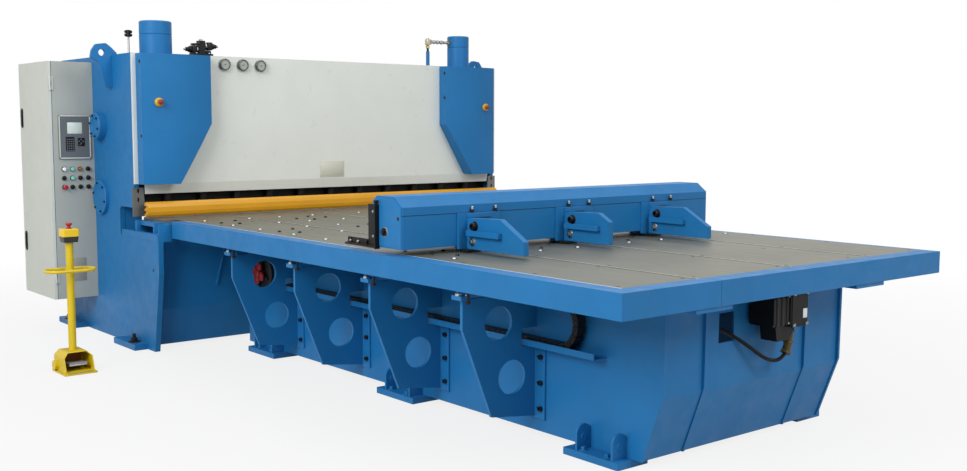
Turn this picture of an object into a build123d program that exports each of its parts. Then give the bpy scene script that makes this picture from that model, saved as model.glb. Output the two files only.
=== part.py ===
"""Hydraulic guillotine shear with a front loading and gauging table.

Millimetres. The origin is on the floor, at the centre of the four anchor bolts of the
shear. +X runs along the cut to the right, +Y from the operator to the rear, +Z up.
"""
import math
import os

from build123d import *

os.makedirs("parts", exist_ok=True)

# Shear frame
ANCHOR_Y = 700.0                       # half the distance between the anchor bolts along Y
ANCHOR_OUT = 55.0                      # anchor bolts outside the side frames
ANCHOR_R = 18.0
PAD_L = 415.0
PAD_OUT = 105.0
PAD_T = 45.0
FRAME_HALF = 1800.0                    # outer faces of the side frames
SIDE_T = 40.0
FRAME_TOP = 2261.0
FRAME_PAST = 170.0                     # frame behind the rear anchor bolts
FASCIA_Y = -ANCHOR_Y + 40.0            # front plane of the white fascia
FRAME_REAR = ANCHOR_Y + FRAME_PAST
INNER = FRAME_HALF - SIDE_T
THROAT_D = 310.0                       # depth of the throat behind the fascia
THROAT_R = 40.0
CUT_Y = FASCIA_Y + 140.0               # the plane that the blades cut along
SHELF_T = 55.0
SHELF_OUT = 411.0
SHELF_W = 109.0
SHELF_PAST = 4.0                       # shelf past the outer face

# Deck level, which the bed, the throat and the table follow
DECK_Z = 994.0
DECK_T = 20.0
BED_SEAT = DECK_Z - 152.0              # top of the lower part of a side frame
JAW_Z = DECK_Z + 81.0                  # lower edge of the upper part of a side frame
BED_FRONT = FASCIA_Y - 250.0
WEB_T = 24.0
BED_FOLD_Z = 310.0
BED_REAR_Z = 200.0                     # lower edge of the bed's rear web

# Clearances of moving pieces
GUIDE_GAP = 6.0                        # ram to side guides
BLADE_GAP = 6.0                        # upper blade to lower blade
ROD_GAP = 0.5                          # rods, plungers and pistons in their bores
SEAT_GAP = 0.5                         # closed door to the cabinet's rim
PIN_GAP = 0.4                          # hinge pins
FOOT_GAP = 0.5                         # sliding feet above the deck

# Fascia and cylinder covers
SHEET_T = 20.0
LIP_TOP = JAW_Z + 183.0
LIP_H = 78.0
LIP_LEAN = 14.0
LIP_END = 85.0
GROOVE_W = 17.0
GROOVE_D = 8.0
GROOVE_IN = 42.0
COVER_W = 572.0
COVER_DEPTH = 100.0
COVER_BULGE = 34.0
COVER_T = 4.0
COVER_OUT = FRAME_HALF - 68.0
COVER_IN = COVER_OUT - COVER_W
LEFT_COVER_SHIFT = 38.0                # both covers sit a little to the left
RIGHT_COVER_SHIFT = 24.0
COVER_CUT_W = 285.0                    # slanted inner lower corner
COVER_CUT_H = 467.0
GAUGE_R = 47.0
GAUGE_PITCH = 160.0
STOP_R = 34.0

# Cylinders, ram, blades and hold-downs
CYL_X = (COVER_IN + COVER_OUT) / 2 + 69.0
CYL_Y = FASCIA_Y + 205.0
LEFT_CYL_R = 125.0
RIGHT_CYL_R = 103.0
CYL_WALL = 31.0
LEFT_CYL_H = 268.0
RIGHT_CYL_H = 303.0
GLAND_H = 30.0
CAP_H = 105.0
TOP_PLATE_T = 35.0
TOP_PLATE_Z = FRAME_TOP - 6.0
ROD_R = 50.0
PISTON_H = 70.0
RAM_T = 40.0
RAM_H = 880.0
RAM_DEPTH = 100.0
RIB_T = 24.0
GUIDE_W = 60.0
BLADE_T = 30.0
BLADE_H = 80.0
BLADE_END = 140.0                      # blades end short of the side frames
BLADE_Z0 = DECK_Z + 46.0
BLADE_RAKE = 35.0
RAM_Z0 = BLADE_Z0 + 30.0
RAM_Z1 = RAM_Z0 + RAM_H
RAM_HALF = INNER - GUIDE_W - GUIDE_GAP
RAM_Y0 = CUT_Y + BLADE_GAP + BLADE_T
HOLD_Y = FASCIA_Y + 85.0
HOLD_R = 34.0
HOLD_COUNT = 11
HOLD_END = 260.0
PLUNGER_R = 18.0
PAD_DISC_T = 14.0
PAD_LIFT = 36.0                        # pads above the deck when lifted
BEAM_PLATE_T = 24.0
LUG_T = 30.0
LUG_EYE_R = 26.0
TIE_W = 150.0
TIE_H = 300.0
TIE_T = 12.0

# Finger guard
GUARD_Z0 = DECK_Z + 11.0
GUARD_H = 117.0
GUARD_D = 40.0
GUARD_Y = FASCIA_Y - 100.0
GUARD_END = 47.0

# Table
TABLE_L = 4605.0
TABLE_W = 2663.0
TABLE_X0 = -FRAME_HALF + 100.0
TABLE_X1 = TABLE_X0 + TABLE_W
TABLE_Y1 = FASCIA_Y - 432.0
TABLE_Y0 = TABLE_Y1 - TABLE_L
TABLE_MID = (TABLE_X0 + TABLE_X1) / 2
RAIL_H = 125.0
RAIL_W = 107.0
RIGHT_RAIL_W = 32.0
RAIL_T = 16.0
RAIL_Z0 = DECK_Z - RAIL_H
RAIL_SEAM = TABLE_X0 + 674.0
DECK_SPLIT = TABLE_Y0 + 1302.0
SLOT_W = 18.0
SLOT_PITCH = 740.0
SLOTS_X = [TABLE_MID + 28.5 + SLOT_PITCH * i for i in (-1, 0, 1)]
BAR_W = 31.0
CROSS_H = 50.0
CROSS_W = 60.0
CROSS_COUNT = 7
POCKET_PITCH = 860.0
POCKET_W = 24.0
POCKET_L = 34.0
JOIST_W = 266.0
JOIST_H = 22.0

# Table base
BASE_HALF = 750.0
BASE_Y0 = TABLE_Y0 + 266.0
BASE_Y1 = TABLE_Y1 - 88.0
BASE_TOP = RAIL_Z0 + RAIL_T
BASE_FOLD_Z = 397.0
BASE_BACK = 133.0                      # how far the front edges run back at the foot
WALL_T = 16.0
WEB_D = 120.0
PANEL_IN = 16.0
PANEL_T = 10.0
WEBS_X = (TABLE_MID - 443.0, TABLE_MID + 405.0)
FOOT_T = 38.0
FOOT_OUT = 110.0
FOOT_HALF_L = 197.0
FEET_Y = [BASE_Y0 + 391.0 + 1740.0 * i for i in range(3)]
FOOT_HOLE_R = 11.0
GUSSETS_Y = [BASE_Y0 + 931.0 + 857.0 * i for i in range(4)]
GUSSET_W = 521.0
GUSSET_T = 20.0
GUSSET_R = 95.0
GUSSET_TOP = RAIL_Z0 - 54.0
CAP_T = 23.0
TRAY_Z = 526.0
TRAY_W = 95.0
TRAY_H = 34.0
TRAY_T = 6.0
CHAIN_W = 60.0
CHAIN_H = 38.0
CHAIN_R = 130.0
LINK_PITCH = 47.0

# Servo motor with its conduit
MOTOR_X = TABLE_MID + 50.0
MOTOR_Y = TABLE_Y0 + 187.0
CABLE_R = 10.0
OUTLET_R = 22.0

# Gauge beam
BEAM_X0 = TABLE_X0 + 44.0
BEAM_X1 = TABLE_X1 - 44.0
BEAM_Y0 = TABLE_Y0 + 1700.0
BEAM_Y1 = BEAM_Y0 + 287.0
BEAM_Z0 = DECK_Z + 35.0
BEAM_SEAM = BEAM_Z0 + 188.0
BEAM_TOP = BEAM_SEAM + 104.0
BEAM_WALL = 8.0
KEY_T = 8.0
KEY_DROP = 84.0
ARM_W = 36.0
ARM_PITCH = 767.0
ARMS_X = [TABLE_MID - 80.0 + ARM_PITCH * i for i in (-1, 0, 1)]
ARM_REACHES = (510.0, 399.0, 510.0)

# Cabinet
CAB_W = 356.0
CAB_L = 720.0
CAB_H = 1921.0
CAB_T = 20.0
CAB_X0 = -FRAME_HALF - CAB_W
CAB_Y1 = FRAME_REAR + 13.0
CAB_Y0 = CAB_Y1 - CAB_L
CAB_Z0 = 297.0
CAB_Z1 = CAB_Z0 + CAB_H
DOOR_T = 24.0
DOOR_SHEET = 4.0
HINGE_X = CAB_X0 + 10.0
HINGE_Y = CAB_Y0 - 12.0
HINGE_R = 8.0
HINGE_PIN_R = 4.0
HINGE_H = 108.0
PANEL_X = (CAB_X0 - FRAME_HALF) / 2 + 19.0
PANEL_W = 258.0
PANEL_H = 353.0

# Pedal stand
STAND_X = CAB_X0 - 357.0
STAND_Y = FASCIA_Y - 570.0
HOOD_W = 200.0
HOOD_D = 230.0
HOOD_H = 150.0
HOOD_T = 6.0
STAND_BASE_T = 12.0
PEDAL_Z = 48.0                         # height of the pedal's pin
PEDAL_PIN_R = 5.0
PEDAL_W = 124.0
POST_R = 26.0
POST_TOP = 905.0
HANDLE_Z = 710.0
HANDLE_R = 11.0
STOP_BOX_W = 110.0
STOP_BOX_H = 93.0


def block(x0, x1, y0, y1, z0, z1, mode=Mode.ADD):
    """A box between two corners."""
    with BuildSketch(Plane.XY.offset(z0)) as outline:
        with Locations(((x0 + x1) / 2, (y0 + y1) / 2)):
            Rectangle(abs(x1 - x0), y1 - y0)
    extrude(outline.sketch, amount=z1 - z0, mode=mode)


def plate_x(points, x0, x1, mode=Mode.ADD):
    """A plate from x0 to x1 whose outline is given as (y, z)."""
    with BuildSketch(Plane.YZ.offset(min(x0, x1))) as outline:
        Polygon(*points, align=None)
    extrude(outline.sketch, amount=abs(x1 - x0), mode=mode)


def plate_y(points, y0, y1, mode=Mode.ADD):
    """A plate from y0 to y1 whose outline is given as (x, z)."""
    with BuildSketch(Plane.XZ.offset(-y1)) as outline:
        Polygon(*points, align=None)
    extrude(outline.sketch, amount=y1 - y0, mode=mode)


def bar(start, direction, radius, length, mode=Mode.ADD):
    """A round bar or a drilled hole from a point along a direction."""
    with BuildSketch(Plane(origin=start, z_dir=direction)) as outline:
        Circle(radius)
    extrude(outline.sketch, amount=length, mode=mode)


def turned(start, direction, outline, mode=Mode.ADD):
    """A turned shape, its outline given as (radius, distance along the direction)."""
    axis = Vector(*direction)
    across = Vector(1, 0, 0) if abs(axis.X) < 0.5 else Vector(0, 1, 0)
    with BuildSketch(Plane(origin=start, x_dir=across, z_dir=across.cross(axis))) as profile:
        Polygon(*outline, align=None)
    revolve(profile.sketch, axis=Axis(start, direction), mode=mode)


def save(builder, name):
    """Label a finished piece and write its file."""
    builder.part.label = name
    export_step(builder.part, "parts/" + name + ".step")


def mirrored(points, sign):
    """An outline given for the right side, for either side."""
    return [(sign * p[0], p[1]) for p in points]


UP = (0, 0, 1)
FORWARD = (0, -1, 0)


# Side frames: thick plates with a rounded throat, a shelf on the lower part and pads
def side_frame_plate(x0, x1):
    """The plate itself between its two faces."""
    outline_points = [
        (FASCIA_Y - SHELF_OUT + 104, 0),
        (FRAME_REAR, 0),
        (FRAME_REAR, FRAME_TOP),
        (FASCIA_Y + SHEET_T, FRAME_TOP),
        (FASCIA_Y + SHEET_T, BED_SEAT),
        (FASCIA_Y - SHELF_OUT, BED_SEAT),
        (FASCIA_Y - SHELF_OUT, BED_SEAT - 242),
    ]
    reach = THROAT_D + THROAT_R + SHELF_OUT
    with BuildSketch(Plane.YZ.offset(min(x0, x1))) as outline:
        Polygon(*outline_points, align=None)
        with Locations((FASCIA_Y + THROAT_D - reach / 2, (BED_SEAT + JAW_Z) / 2)):
            RectangleRounded(reach, JAW_Z - BED_SEAT, THROAT_R, mode=Mode.SUBTRACT)
    extrude(outline.sketch, amount=abs(x1 - x0))


def side_frame_pieces(sign):
    """The plate of one side with its pads and shelf."""
    outer = sign * FRAME_HALF
    inner = sign * INNER
    side_frame_plate(inner, outer)
    for end in (-1, 1):
        pad_y = end * (ANCHOR_Y - 77.5)
        block(outer, outer + sign * PAD_OUT, pad_y - PAD_L / 2, pad_y + PAD_L / 2, 0, PAD_T)
        bar((sign * (FRAME_HALF + ANCHOR_OUT), end * ANCHOR_Y, 0), UP, ANCHOR_R, PAD_T, mode=Mode.SUBTRACT)
    front = FASCIA_Y - SHELF_OUT
    edge = outer + sign * SHELF_PAST
    block(inner, edge, front, FASCIA_Y + THROAT_D - THROAT_R, BED_SEAT, BED_SEAT + SHELF_T)
    block(outer - sign * SHELF_W, edge, front, BED_FRONT - 4, BED_SEAT, BED_SEAT + SHELF_T)
    shelf_in = outer - sign * SHELF_W
    shelf_z, rib_z = BED_SEAT + SHELF_T, DECK_Z - DECK_T
    block(shelf_in, outer - sign * 6, front + 4, front + 12, shelf_z, rib_z)
    block(shelf_in, shelf_in + sign * 8, front + 4, BED_FRONT - 4, shelf_z, rib_z)
    block(inner, outer - sign * 6, FASCIA_Y, FASCIA_Y + 8, shelf_z, rib_z)
    throat_y = FASCIA_Y + THROAT_D + 2
    block(inner, inner - sign * BLADE_END, throat_y, throat_y + 20, BED_SEAT, JAW_Z + 60)


with BuildPart() as left_side_frame:
    side_frame_pieces(-1)
save(left_side_frame, "left_side_frame")

with BuildPart() as right_side_frame:
    side_frame_pieces(1)
save(right_side_frame, "right_side_frame")

# Bed: front web bent back below, top plate, rear web and ribs between them
PLATE_Z0 = DECK_Z - DECK_T
BED_WEB = [
    (BED_FRONT, PLATE_Z0),
    (BED_FRONT, BED_FOLD_Z),
    (BED_FRONT + 50, 30),
    (BED_FRONT + 50 + WEB_T, 30),
    (BED_FRONT + WEB_T, BED_FOLD_Z),
    (BED_FRONT + WEB_T, PLATE_Z0),
]
BED_BACK = CUT_Y - BLADE_T             # rear face of the bed under the lower blade
SLANT_RIB = [(1171, 775), (1185, 775), (1267, 468), (1253, 468)]

with BuildPart() as bed:
    plate_x(BED_WEB, -INNER, INNER)
    block(-INNER, INNER, BED_FRONT, BED_BACK, PLATE_Z0 - 30, PLATE_Z0)
    block(-INNER, INNER, BED_BACK - 26, BED_BACK, BED_REAR_Z, PLATE_Z0)
    for rib_share in (-0.75, -0.25, 0.25, 0.75):
        rib_x = rib_share * INNER
        block(rib_x, rib_x + 16, BED_FRONT + WEB_T, BED_BACK - 26, BED_FOLD_Z, PLATE_Z0 - 30)
    for side in (-1, 1):
        plate_y(mirrored(SLANT_RIB, side), BED_FRONT - 14, BED_FRONT)
save(bed, "bed")

with BuildPart() as bed_plates:
    for side in (-1, 1):
        block(side * 1, side * (INNER - 70), BED_FRONT, BED_BACK, PLATE_Z0, DECK_Z)
save(bed_plates, "bed_plates")

with BuildPart() as lower_blade:
    block(-INNER + BLADE_END, INNER - BLADE_END, BED_BACK, CUT_Y, DECK_Z - BLADE_H, DECK_Z)
save(lower_blade, "lower_blade")

# White fascia with its bent lip and two side grooves
FASCIA_LIP = [
    (FASCIA_Y, LIP_TOP),
    (FASCIA_Y + SHEET_T, LIP_TOP),
    (FASCIA_Y + SHEET_T + LIP_LEAN, LIP_TOP - LIP_H),
    (FASCIA_Y + LIP_LEAN, LIP_TOP - LIP_H),
]

with BuildPart() as front_fascia:
    block(-FRAME_HALF, FRAME_HALF, FASCIA_Y, FASCIA_Y + SHEET_T, LIP_TOP, FRAME_TOP)
    plate_x(FASCIA_LIP, -FRAME_HALF + LIP_END, FRAME_HALF - LIP_END)
    for side in (-1, 1):
        groove_x = side * (FRAME_HALF - GROOVE_IN)
        block(groove_x, groove_x - side * GROOVE_W, FASCIA_Y, FASCIA_Y + GROOVE_D, LIP_TOP, FRAME_TOP,
              mode=Mode.SUBTRACT)
save(front_fascia, "front_fascia")

# Front beam behind the fascia, with the hold-down barrels under it
HOLD_PITCH = 2 * (INNER - HOLD_END) / (HOLD_COUNT - 1)
HOLD_XS = [-INNER + HOLD_END + HOLD_PITCH * i for i in range(HOLD_COUNT)]
LIP_Z = LIP_TOP - LIP_H
BARREL_Z0 = JAW_Z + 10.0
BEAM_PLATE_Y = FASCIA_Y + SHEET_T + LIP_LEAN + 2.0
APRON_Y = HOLD_Y + HOLD_R + 2.0
APRON_T = 6.0
BARREL = [
    (PLUNGER_R + ROD_GAP, BARREL_Z0),
    (HOLD_R - 6, BARREL_Z0),
    (HOLD_R, BARREL_Z0 + 10),
    (HOLD_R, LIP_Z),
    (PLUNGER_R + ROD_GAP, LIP_Z),
]

with BuildPart() as front_beam:
    block(-INNER, INNER, BEAM_PLATE_Y, BEAM_PLATE_Y + BEAM_PLATE_T, LIP_Z, TOP_PLATE_Z - TOP_PLATE_T)
    block(-INNER, INNER, BEAM_PLATE_Y, APRON_Y + APRON_T, LIP_Z, LIP_Z + 30)
    block(-INNER, INNER, APRON_Y, APRON_Y + APRON_T, JAW_Z - 15, LIP_Z)
    for hold_x in HOLD_XS:
        turned((hold_x, HOLD_Y, 0), UP, BARREL)
save(front_beam, "front_beam")

PAD_Z0 = DECK_Z + PAD_LIFT
PLUNGER = [
    (0, PAD_Z0),
    (HOLD_R - 8, PAD_Z0),
    (HOLD_R - 4, PAD_Z0 + 4),
    (HOLD_R - 4, PAD_Z0 + PAD_DISC_T),
    (PLUNGER_R, PAD_Z0 + PAD_DISC_T),
    (PLUNGER_R, LIP_Z - 12),
    (0, LIP_Z - 12),
]

with BuildPart() as hold_down_pads:
    for hold_x in HOLD_XS:
        turned((hold_x, HOLD_Y, 0), UP, PLUNGER)
save(hold_down_pads, "hold_down_pads")


# Cylinder covers: sheet boxes with a convex front and a cut inner lower corner
def cover_shift(sign):
    """How far one cover sits to the left of its even place."""
    return RIGHT_COVER_SHIFT if sign > 0 else LEFT_COVER_SHIFT


def cover_edges(sign):
    """The inner and the outer edge of one cover."""
    return sign * COVER_IN - cover_shift(sign), sign * COVER_OUT - cover_shift(sign)


def cover_body(sign, mode=Mode.ADD):
    """One cover as a solid body, convex in plan."""
    front = FASCIA_Y - COVER_DEPTH
    inner, outer = cover_edges(sign)
    with BuildSketch(Plane.XY.offset(LIP_TOP)) as outline:
        with BuildLine():
            Polyline((inner, front), (inner, FASCIA_Y), (outer, FASCIA_Y), (outer, front))
            ThreePointArc((outer, front), ((inner + outer) / 2, front - COVER_BULGE), (inner, front))
        make_face()
    extrude(outline.sketch, amount=TOP_PLATE_Z - LIP_TOP, mode=mode)


def cover_sheet(sign):
    """One cover as a sheet box, open at the back and with its corner cut."""
    inner = cover_edges(sign)[0]
    corner = [(inner, LIP_TOP), (inner + sign * COVER_CUT_W, LIP_TOP), (inner, LIP_TOP + COVER_CUT_H)]
    cover_body(sign)
    plate_y(corner, FASCIA_Y - COVER_DEPTH - COVER_BULGE, FASCIA_Y, mode=Mode.SUBTRACT)


with BuildPart() as left_cylinder_cover:
    cover_sheet(-1)
    offset(amount=-COVER_T, openings=left_cylinder_cover.faces().sort_by(Axis.Y)[-1])
save(left_cylinder_cover, "left_cylinder_cover")

with BuildPart() as right_cylinder_cover:
    cover_sheet(1)
    offset(amount=-COVER_T, openings=right_cylinder_cover.faces().sort_by(Axis.Y)[-1])
save(right_cylinder_cover, "right_cylinder_cover")

# Emergency stops: a round collar with a mushroom head on each cover
STOP_Z = TOP_PLATE_Z - 370.0
STOP = [
    (0, 0),
    (STOP_R, 0),
    (STOP_R, 38),
    (STOP_R - 8, 46),
    (15, 46),
    (15, 56),
    (20, 60),
    (20, 68),
    (14, 76),
    (0, 78),
]

with BuildPart() as emergency_stops:
    for side in (-1, 1):
        turned((side * (CYL_X + 90) - cover_shift(side), FASCIA_Y - COVER_DEPTH, STOP_Z), FORWARD, STOP)
    cover_body(-1, mode=Mode.SUBTRACT)
    cover_body(1, mode=Mode.SUBTRACT)
save(emergency_stops, "emergency_stops")

# Dial gauges with a raised rim
GAUGE = [
    (0, 0),
    (GAUGE_R, 0),
    (GAUGE_R, 26),
    (GAUGE_R - 4, 32),
    (GAUGE_R - 9, 32),
    (GAUGE_R - 9, 27),
    (0, 27),
]

with BuildPart() as pressure_gauges:
    for place in range(3):
        gauge_x = -COVER_IN + 126 + GAUGE_PITCH * place
        turned((gauge_x, FASCIA_Y, TOP_PLATE_Z - 59), FORWARD, GAUGE)
save(pressure_gauges, "pressure_gauges")

# Top plate under the cylinders, and the two tubes that tie the frames at the rear
with BuildPart() as top_plate:
    block(-INNER, INNER, FASCIA_Y + SHEET_T, FASCIA_Y + 400, TOP_PLATE_Z - TOP_PLATE_T, TOP_PLATE_Z)
    for side in (-1, 1):
        bar((side * CYL_X, CYL_Y, TOP_PLATE_Z - TOP_PLATE_T), UP, ROD_R + 10, TOP_PLATE_T, mode=Mode.SUBTRACT)
save(top_plate, "top_plate")

with BuildPart() as rear_tie_beams:
    for tie_z in (80 + TIE_H / 2, FRAME_TOP - 211 - TIE_H / 2):
        with BuildSketch(Plane.YZ.offset(-INNER)) as tube:
            with Locations((FRAME_REAR - 30 - TIE_W / 2, tie_z)):
                RectangleRounded(TIE_W, TIE_H, 2 * TIE_T)
                RectangleRounded(TIE_W - 2 * TIE_T, TIE_H - 2 * TIE_T, TIE_T, mode=Mode.SUBTRACT)
        extrude(tube.sketch, amount=2 * INNER)
save(rear_tie_beams, "rear_tie_beams")

# Cylinders of two bores, each with a seam and a closed head, and the pistons in them
def cylinder_outline(radius, height):
    """A cylinder with a bored foot, given by its outer radius and its height."""
    bore = radius - CYL_WALL
    return [
        (ROD_R + ROD_GAP, 0),
        (radius + 8, 0),
        (radius + 8, 8),
        (radius, 8),
        (radius, height - CAP_H - 4),
        (radius - 4, height - CAP_H),
        (radius, height - CAP_H + 4),
        (radius, height - 8),
        (radius - 8, height),
        (0, height),
        (0, height - 30),
        (bore, height - 30),
        (bore, GLAND_H),
        (ROD_R + ROD_GAP, GLAND_H),
    ]


def rod_outline(radius, height):
    """A piston rod and its piston, given by the size of their cylinder."""
    piston = radius - CYL_WALL - ROD_GAP
    top = TOP_PLATE_Z + height - 40
    return [(0, RAM_Z1), (ROD_R, RAM_Z1), (ROD_R, top - PISTON_H), (piston, top - PISTON_H), (piston, top), (0, top)]


CYLINDERS = ((-CYL_X, LEFT_CYL_R, LEFT_CYL_H), (CYL_X, RIGHT_CYL_R, RIGHT_CYL_H))

with BuildPart() as cylinders:
    for cylinder_x, cylinder_r, cylinder_h in CYLINDERS:
        turned((cylinder_x, CYL_Y, TOP_PLATE_Z), UP, cylinder_outline(cylinder_r, cylinder_h))
save(cylinders, "cylinders")

with BuildPart() as piston_rods:
    for cylinder_x, cylinder_r, cylinder_h in CYLINDERS:
        turned((cylinder_x, CYL_Y, 0), UP, rod_outline(cylinder_r, cylinder_h))
save(piston_rods, "piston_rods")

# Ram: a plate with flanges and ribs behind, which carries the raked upper blade
RAM_Y1 = RAM_Y0 + RAM_DEPTH
RIBS_X = [CYL_X * share for share in (-1, -0.5, 0, 0.5, 1)]
UPPER_BLADE = [
    (-INNER + BLADE_END, BLADE_Z0),
    (INNER - BLADE_END, BLADE_Z0 + BLADE_RAKE),
    (INNER - BLADE_END, BLADE_Z0 + BLADE_H + 30),
    (-INNER + BLADE_END, BLADE_Z0 + BLADE_H + 30),
]

with BuildPart() as ram:
    block(-RAM_HALF, RAM_HALF, RAM_Y0, RAM_Y0 + RAM_T, RAM_Z0, RAM_Z1)
    block(-RAM_HALF, RAM_HALF, RAM_Y0 - BLADE_T + 4, RAM_Y1, RAM_Z1 - 30, RAM_Z1)
    block(-RAM_HALF, RAM_HALF, RAM_Y0 + RAM_T, RAM_Y1, RAM_Z0 + 60, RAM_Z0 + 85)
    for rib_x in RIBS_X:
        block(rib_x - RIB_T / 2, rib_x + RIB_T / 2, RAM_Y0 + RAM_T, RAM_Y1, RAM_Z0 + 85, RAM_Z1 - 30)
save(ram, "ram")

with BuildPart() as upper_blade:
    plate_y(UPPER_BLADE, CUT_Y + BLADE_GAP, RAM_Y0)
save(upper_blade, "upper_blade")

with BuildPart() as ram_guides:
    for side in (-1, 1):
        guide_x = side * (RAM_HALF + GUIDE_GAP)
        block(guide_x, side * INNER, RAM_Y0 - 20, RAM_Y1 + 30, RAM_Z0 + 80, TOP_PLATE_Z - TOP_PLATE_T - 120)
save(ram_guides, "ram_guides")

# Lifting lugs that straddle the top edges of the side frames
LUG = [
    (FRAME_HALF + 168, FRAME_TOP - 24),
    (FRAME_HALF + 158, FRAME_TOP + 30),
    (FRAME_HALF + 125, FRAME_TOP + 78),
    (FRAME_HALF + 46, FRAME_TOP + 89),
    (FRAME_HALF + 7, FRAME_TOP + 60),
    (INNER, FRAME_TOP + 15),
    (INNER, FRAME_TOP),
    (FRAME_HALF, FRAME_TOP),
    (FRAME_HALF, FRAME_TOP - 260),
    (FRAME_HALF + 56, FRAME_TOP - 253),
    (FRAME_HALF + 106, FRAME_TOP - 60),
]
LUG_Y = FASCIA_Y + 385.0

with BuildPart() as lifting_lugs:
    for side in (-1, 1):
        with BuildSketch(Plane.XZ.offset(-LUG_Y - LUG_T)) as lug_outline:
            Polygon(*mirrored(LUG, side), align=None)
            fillet(lug_outline.vertices().filter_by(lambda corner: corner.Y > FRAME_TOP + 25), 28)
            with Locations((side * (FRAME_HALF + 80), FRAME_TOP + 14)):
                Circle(LUG_EYE_R, mode=Mode.SUBTRACT)
        extrude(lug_outline.sketch, amount=LUG_T)
save(lifting_lugs, "lifting_lugs")

# Guide hubs and round cover discs on the outer faces
HUB = [(0, 0), (108, 0), (108, 57), (100, 65), (62, 65), (58, 58), (0, 58)]
DISC = [(0, 0), (140, 0), (140, 26), (136, 30), (0, 30)]

with BuildPart() as side_discs:
    for side in (-1, 1):
        turned((side * FRAME_HALF, FASCIA_Y + 637, JAW_Z + 628), (side, 0, 0), HUB)
        turned((side * FRAME_HALF, FASCIA_Y + THROAT_D + 355, JAW_Z + 52), (side, 0, 0), DISC)
save(side_discs, "side_discs")

# Finger guard, rounded in front, with rounded corners and two notches in each end
GUARD_HALF = FRAME_HALF - GUARD_END
GUARD_Z1 = GUARD_Z0 + GUARD_H
GUARD_SECTION = [
    (GUARD_Y + 22, GUARD_Z1),
    (GUARD_Y + 7, GUARD_Z1 - 16),
    (GUARD_Y, GUARD_Z1 - 40),
    (GUARD_Y, GUARD_Z0 + 40),
    (GUARD_Y + 7, GUARD_Z0 + 16),
    (GUARD_Y + 22, GUARD_Z0),
    (GUARD_Y + GUARD_D, GUARD_Z0),
    (GUARD_Y + GUARD_D, GUARD_Z1),
]

with BuildPart() as finger_guard:
    plate_x(GUARD_SECTION, -GUARD_HALF, GUARD_HALF)
    with BuildSketch(Plane.XZ.offset(-GUARD_Y - GUARD_D)) as guard_outline:
        with Locations((0, (GUARD_Z0 + GUARD_Z1) / 2)):
            RectangleRounded(2 * GUARD_HALF, GUARD_H, 18)
            with GridLocations(2 * GUARD_HALF, 40, 2, 2):
                Circle(12, mode=Mode.SUBTRACT)
    extrude(guard_outline.sketch, amount=GUARD_D, mode=Mode.INTERSECT)
save(finger_guard, "finger_guard")

BRACKET = [
    (FRAME_HALF + 15, LIP_TOP - 28),
    (FRAME_HALF - 72, LIP_TOP - 28),
    (FRAME_HALF - 78, JAW_Z + 44),
    (FRAME_HALF - 100, JAW_Z + 25),
    (FRAME_HALF - 110, GUARD_Z0 + 3),
    (FRAME_HALF + 15, GUARD_Z0 + 3),
]

with BuildPart() as guard_brackets:
    for side in (-1, 1):
        plate_y(mirrored(BRACKET, side), FASCIA_Y + 8, FASCIA_Y + SHEET_T)
        for slot_z in (JAW_Z + 61, JAW_Z + 131):
            with BuildSketch(Plane.XZ.offset(-FASCIA_Y - SHEET_T)) as slot_outline:
                with Locations(Location((side * (FRAME_HALF - 29), slot_z), 90)):
                    SlotOverall(34, 16)
            extrude(slot_outline.sketch, amount=SHEET_T, mode=Mode.SUBTRACT)
        arm_x = side * (FRAME_HALF - 100)
        block(arm_x, arm_x + side * 12, GUARD_Y + GUARD_D, FASCIA_Y + 8, GUARD_Z0 + 7, JAW_Z + 20)
save(guard_brackets, "guard_brackets")

# Hydraulic fittings on the top plate: valve group, pipe to the right cylinder, sensor
PIPE_Z = TOP_PLATE_Z + 240.0
PIPE_X = CYL_X - 360.0
VALVE_X = -COVER_IN + 60.0
VALVE_Y = FASCIA_Y + 260.0
SOLENOID = [(0, 0), (24, 0), (24, 82), (17, 88), (17, 104), (10, 112), (0, 112)]
SENSOR = [(0, 0), (7, 0), (7, 150), (19, 150), (19, 203), (0, 203)]

with BuildPart() as hydraulic_fittings:
    block(VALVE_X - 90, VALVE_X + 80, VALVE_Y - 45, VALVE_Y + 45, TOP_PLATE_Z, TOP_PLATE_Z + 36)
    block(VALVE_X - 32, VALVE_X + 20, VALVE_Y - 28, VALVE_Y + 28, TOP_PLATE_Z + 36, TOP_PLATE_Z + 140)
    turned((VALVE_X - 32, VALVE_Y, TOP_PLATE_Z + 68), (-1, 0, 0), SOLENOID)
    turned((VALVE_X + 20, VALVE_Y, TOP_PLATE_Z + 98), (1, 0, 0), SOLENOID)
    bar((PIPE_X, CYL_Y, TOP_PLATE_Z), UP, 11, PIPE_Z - TOP_PLATE_Z)
    block(PIPE_X - 20, PIPE_X + 20, CYL_Y - 17, CYL_Y + 17, PIPE_Z - 30, PIPE_Z + 20)
    bar((PIPE_X, CYL_Y, PIPE_Z), (1, 0, 0), 12, CYL_X - RIGHT_CYL_R - SEAT_GAP - PIPE_X)
    turned((-COVER_OUT + 64, FASCIA_Y + 370, TOP_PLATE_Z), UP, SENSOR)
save(hydraulic_fittings, "hydraulic_fittings")


# Table rails: channels with the flanges inwards
def channel_y(x_out, width, sign):
    """A channel along Y with its web at x_out and its flanges towards the given sign."""
    block(x_out, x_out + sign * RAIL_T, TABLE_Y0, TABLE_Y1, RAIL_Z0, DECK_Z)
    block(x_out, x_out + sign * width, TABLE_Y0 + RAIL_W, TABLE_Y1, PLATE_Z0, DECK_Z)
    block(x_out, x_out + sign * width, TABLE_Y0 + RAIL_W, TABLE_Y1, RAIL_Z0, RAIL_Z0 + RAIL_T)


with BuildPart() as left_rail:
    channel_y(TABLE_X0, RAIL_W, 1)
save(left_rail, "left_rail")

with BuildPart() as right_rail:
    channel_y(TABLE_X1, RIGHT_RAIL_W, -1)
save(right_rail, "right_rail")

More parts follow.
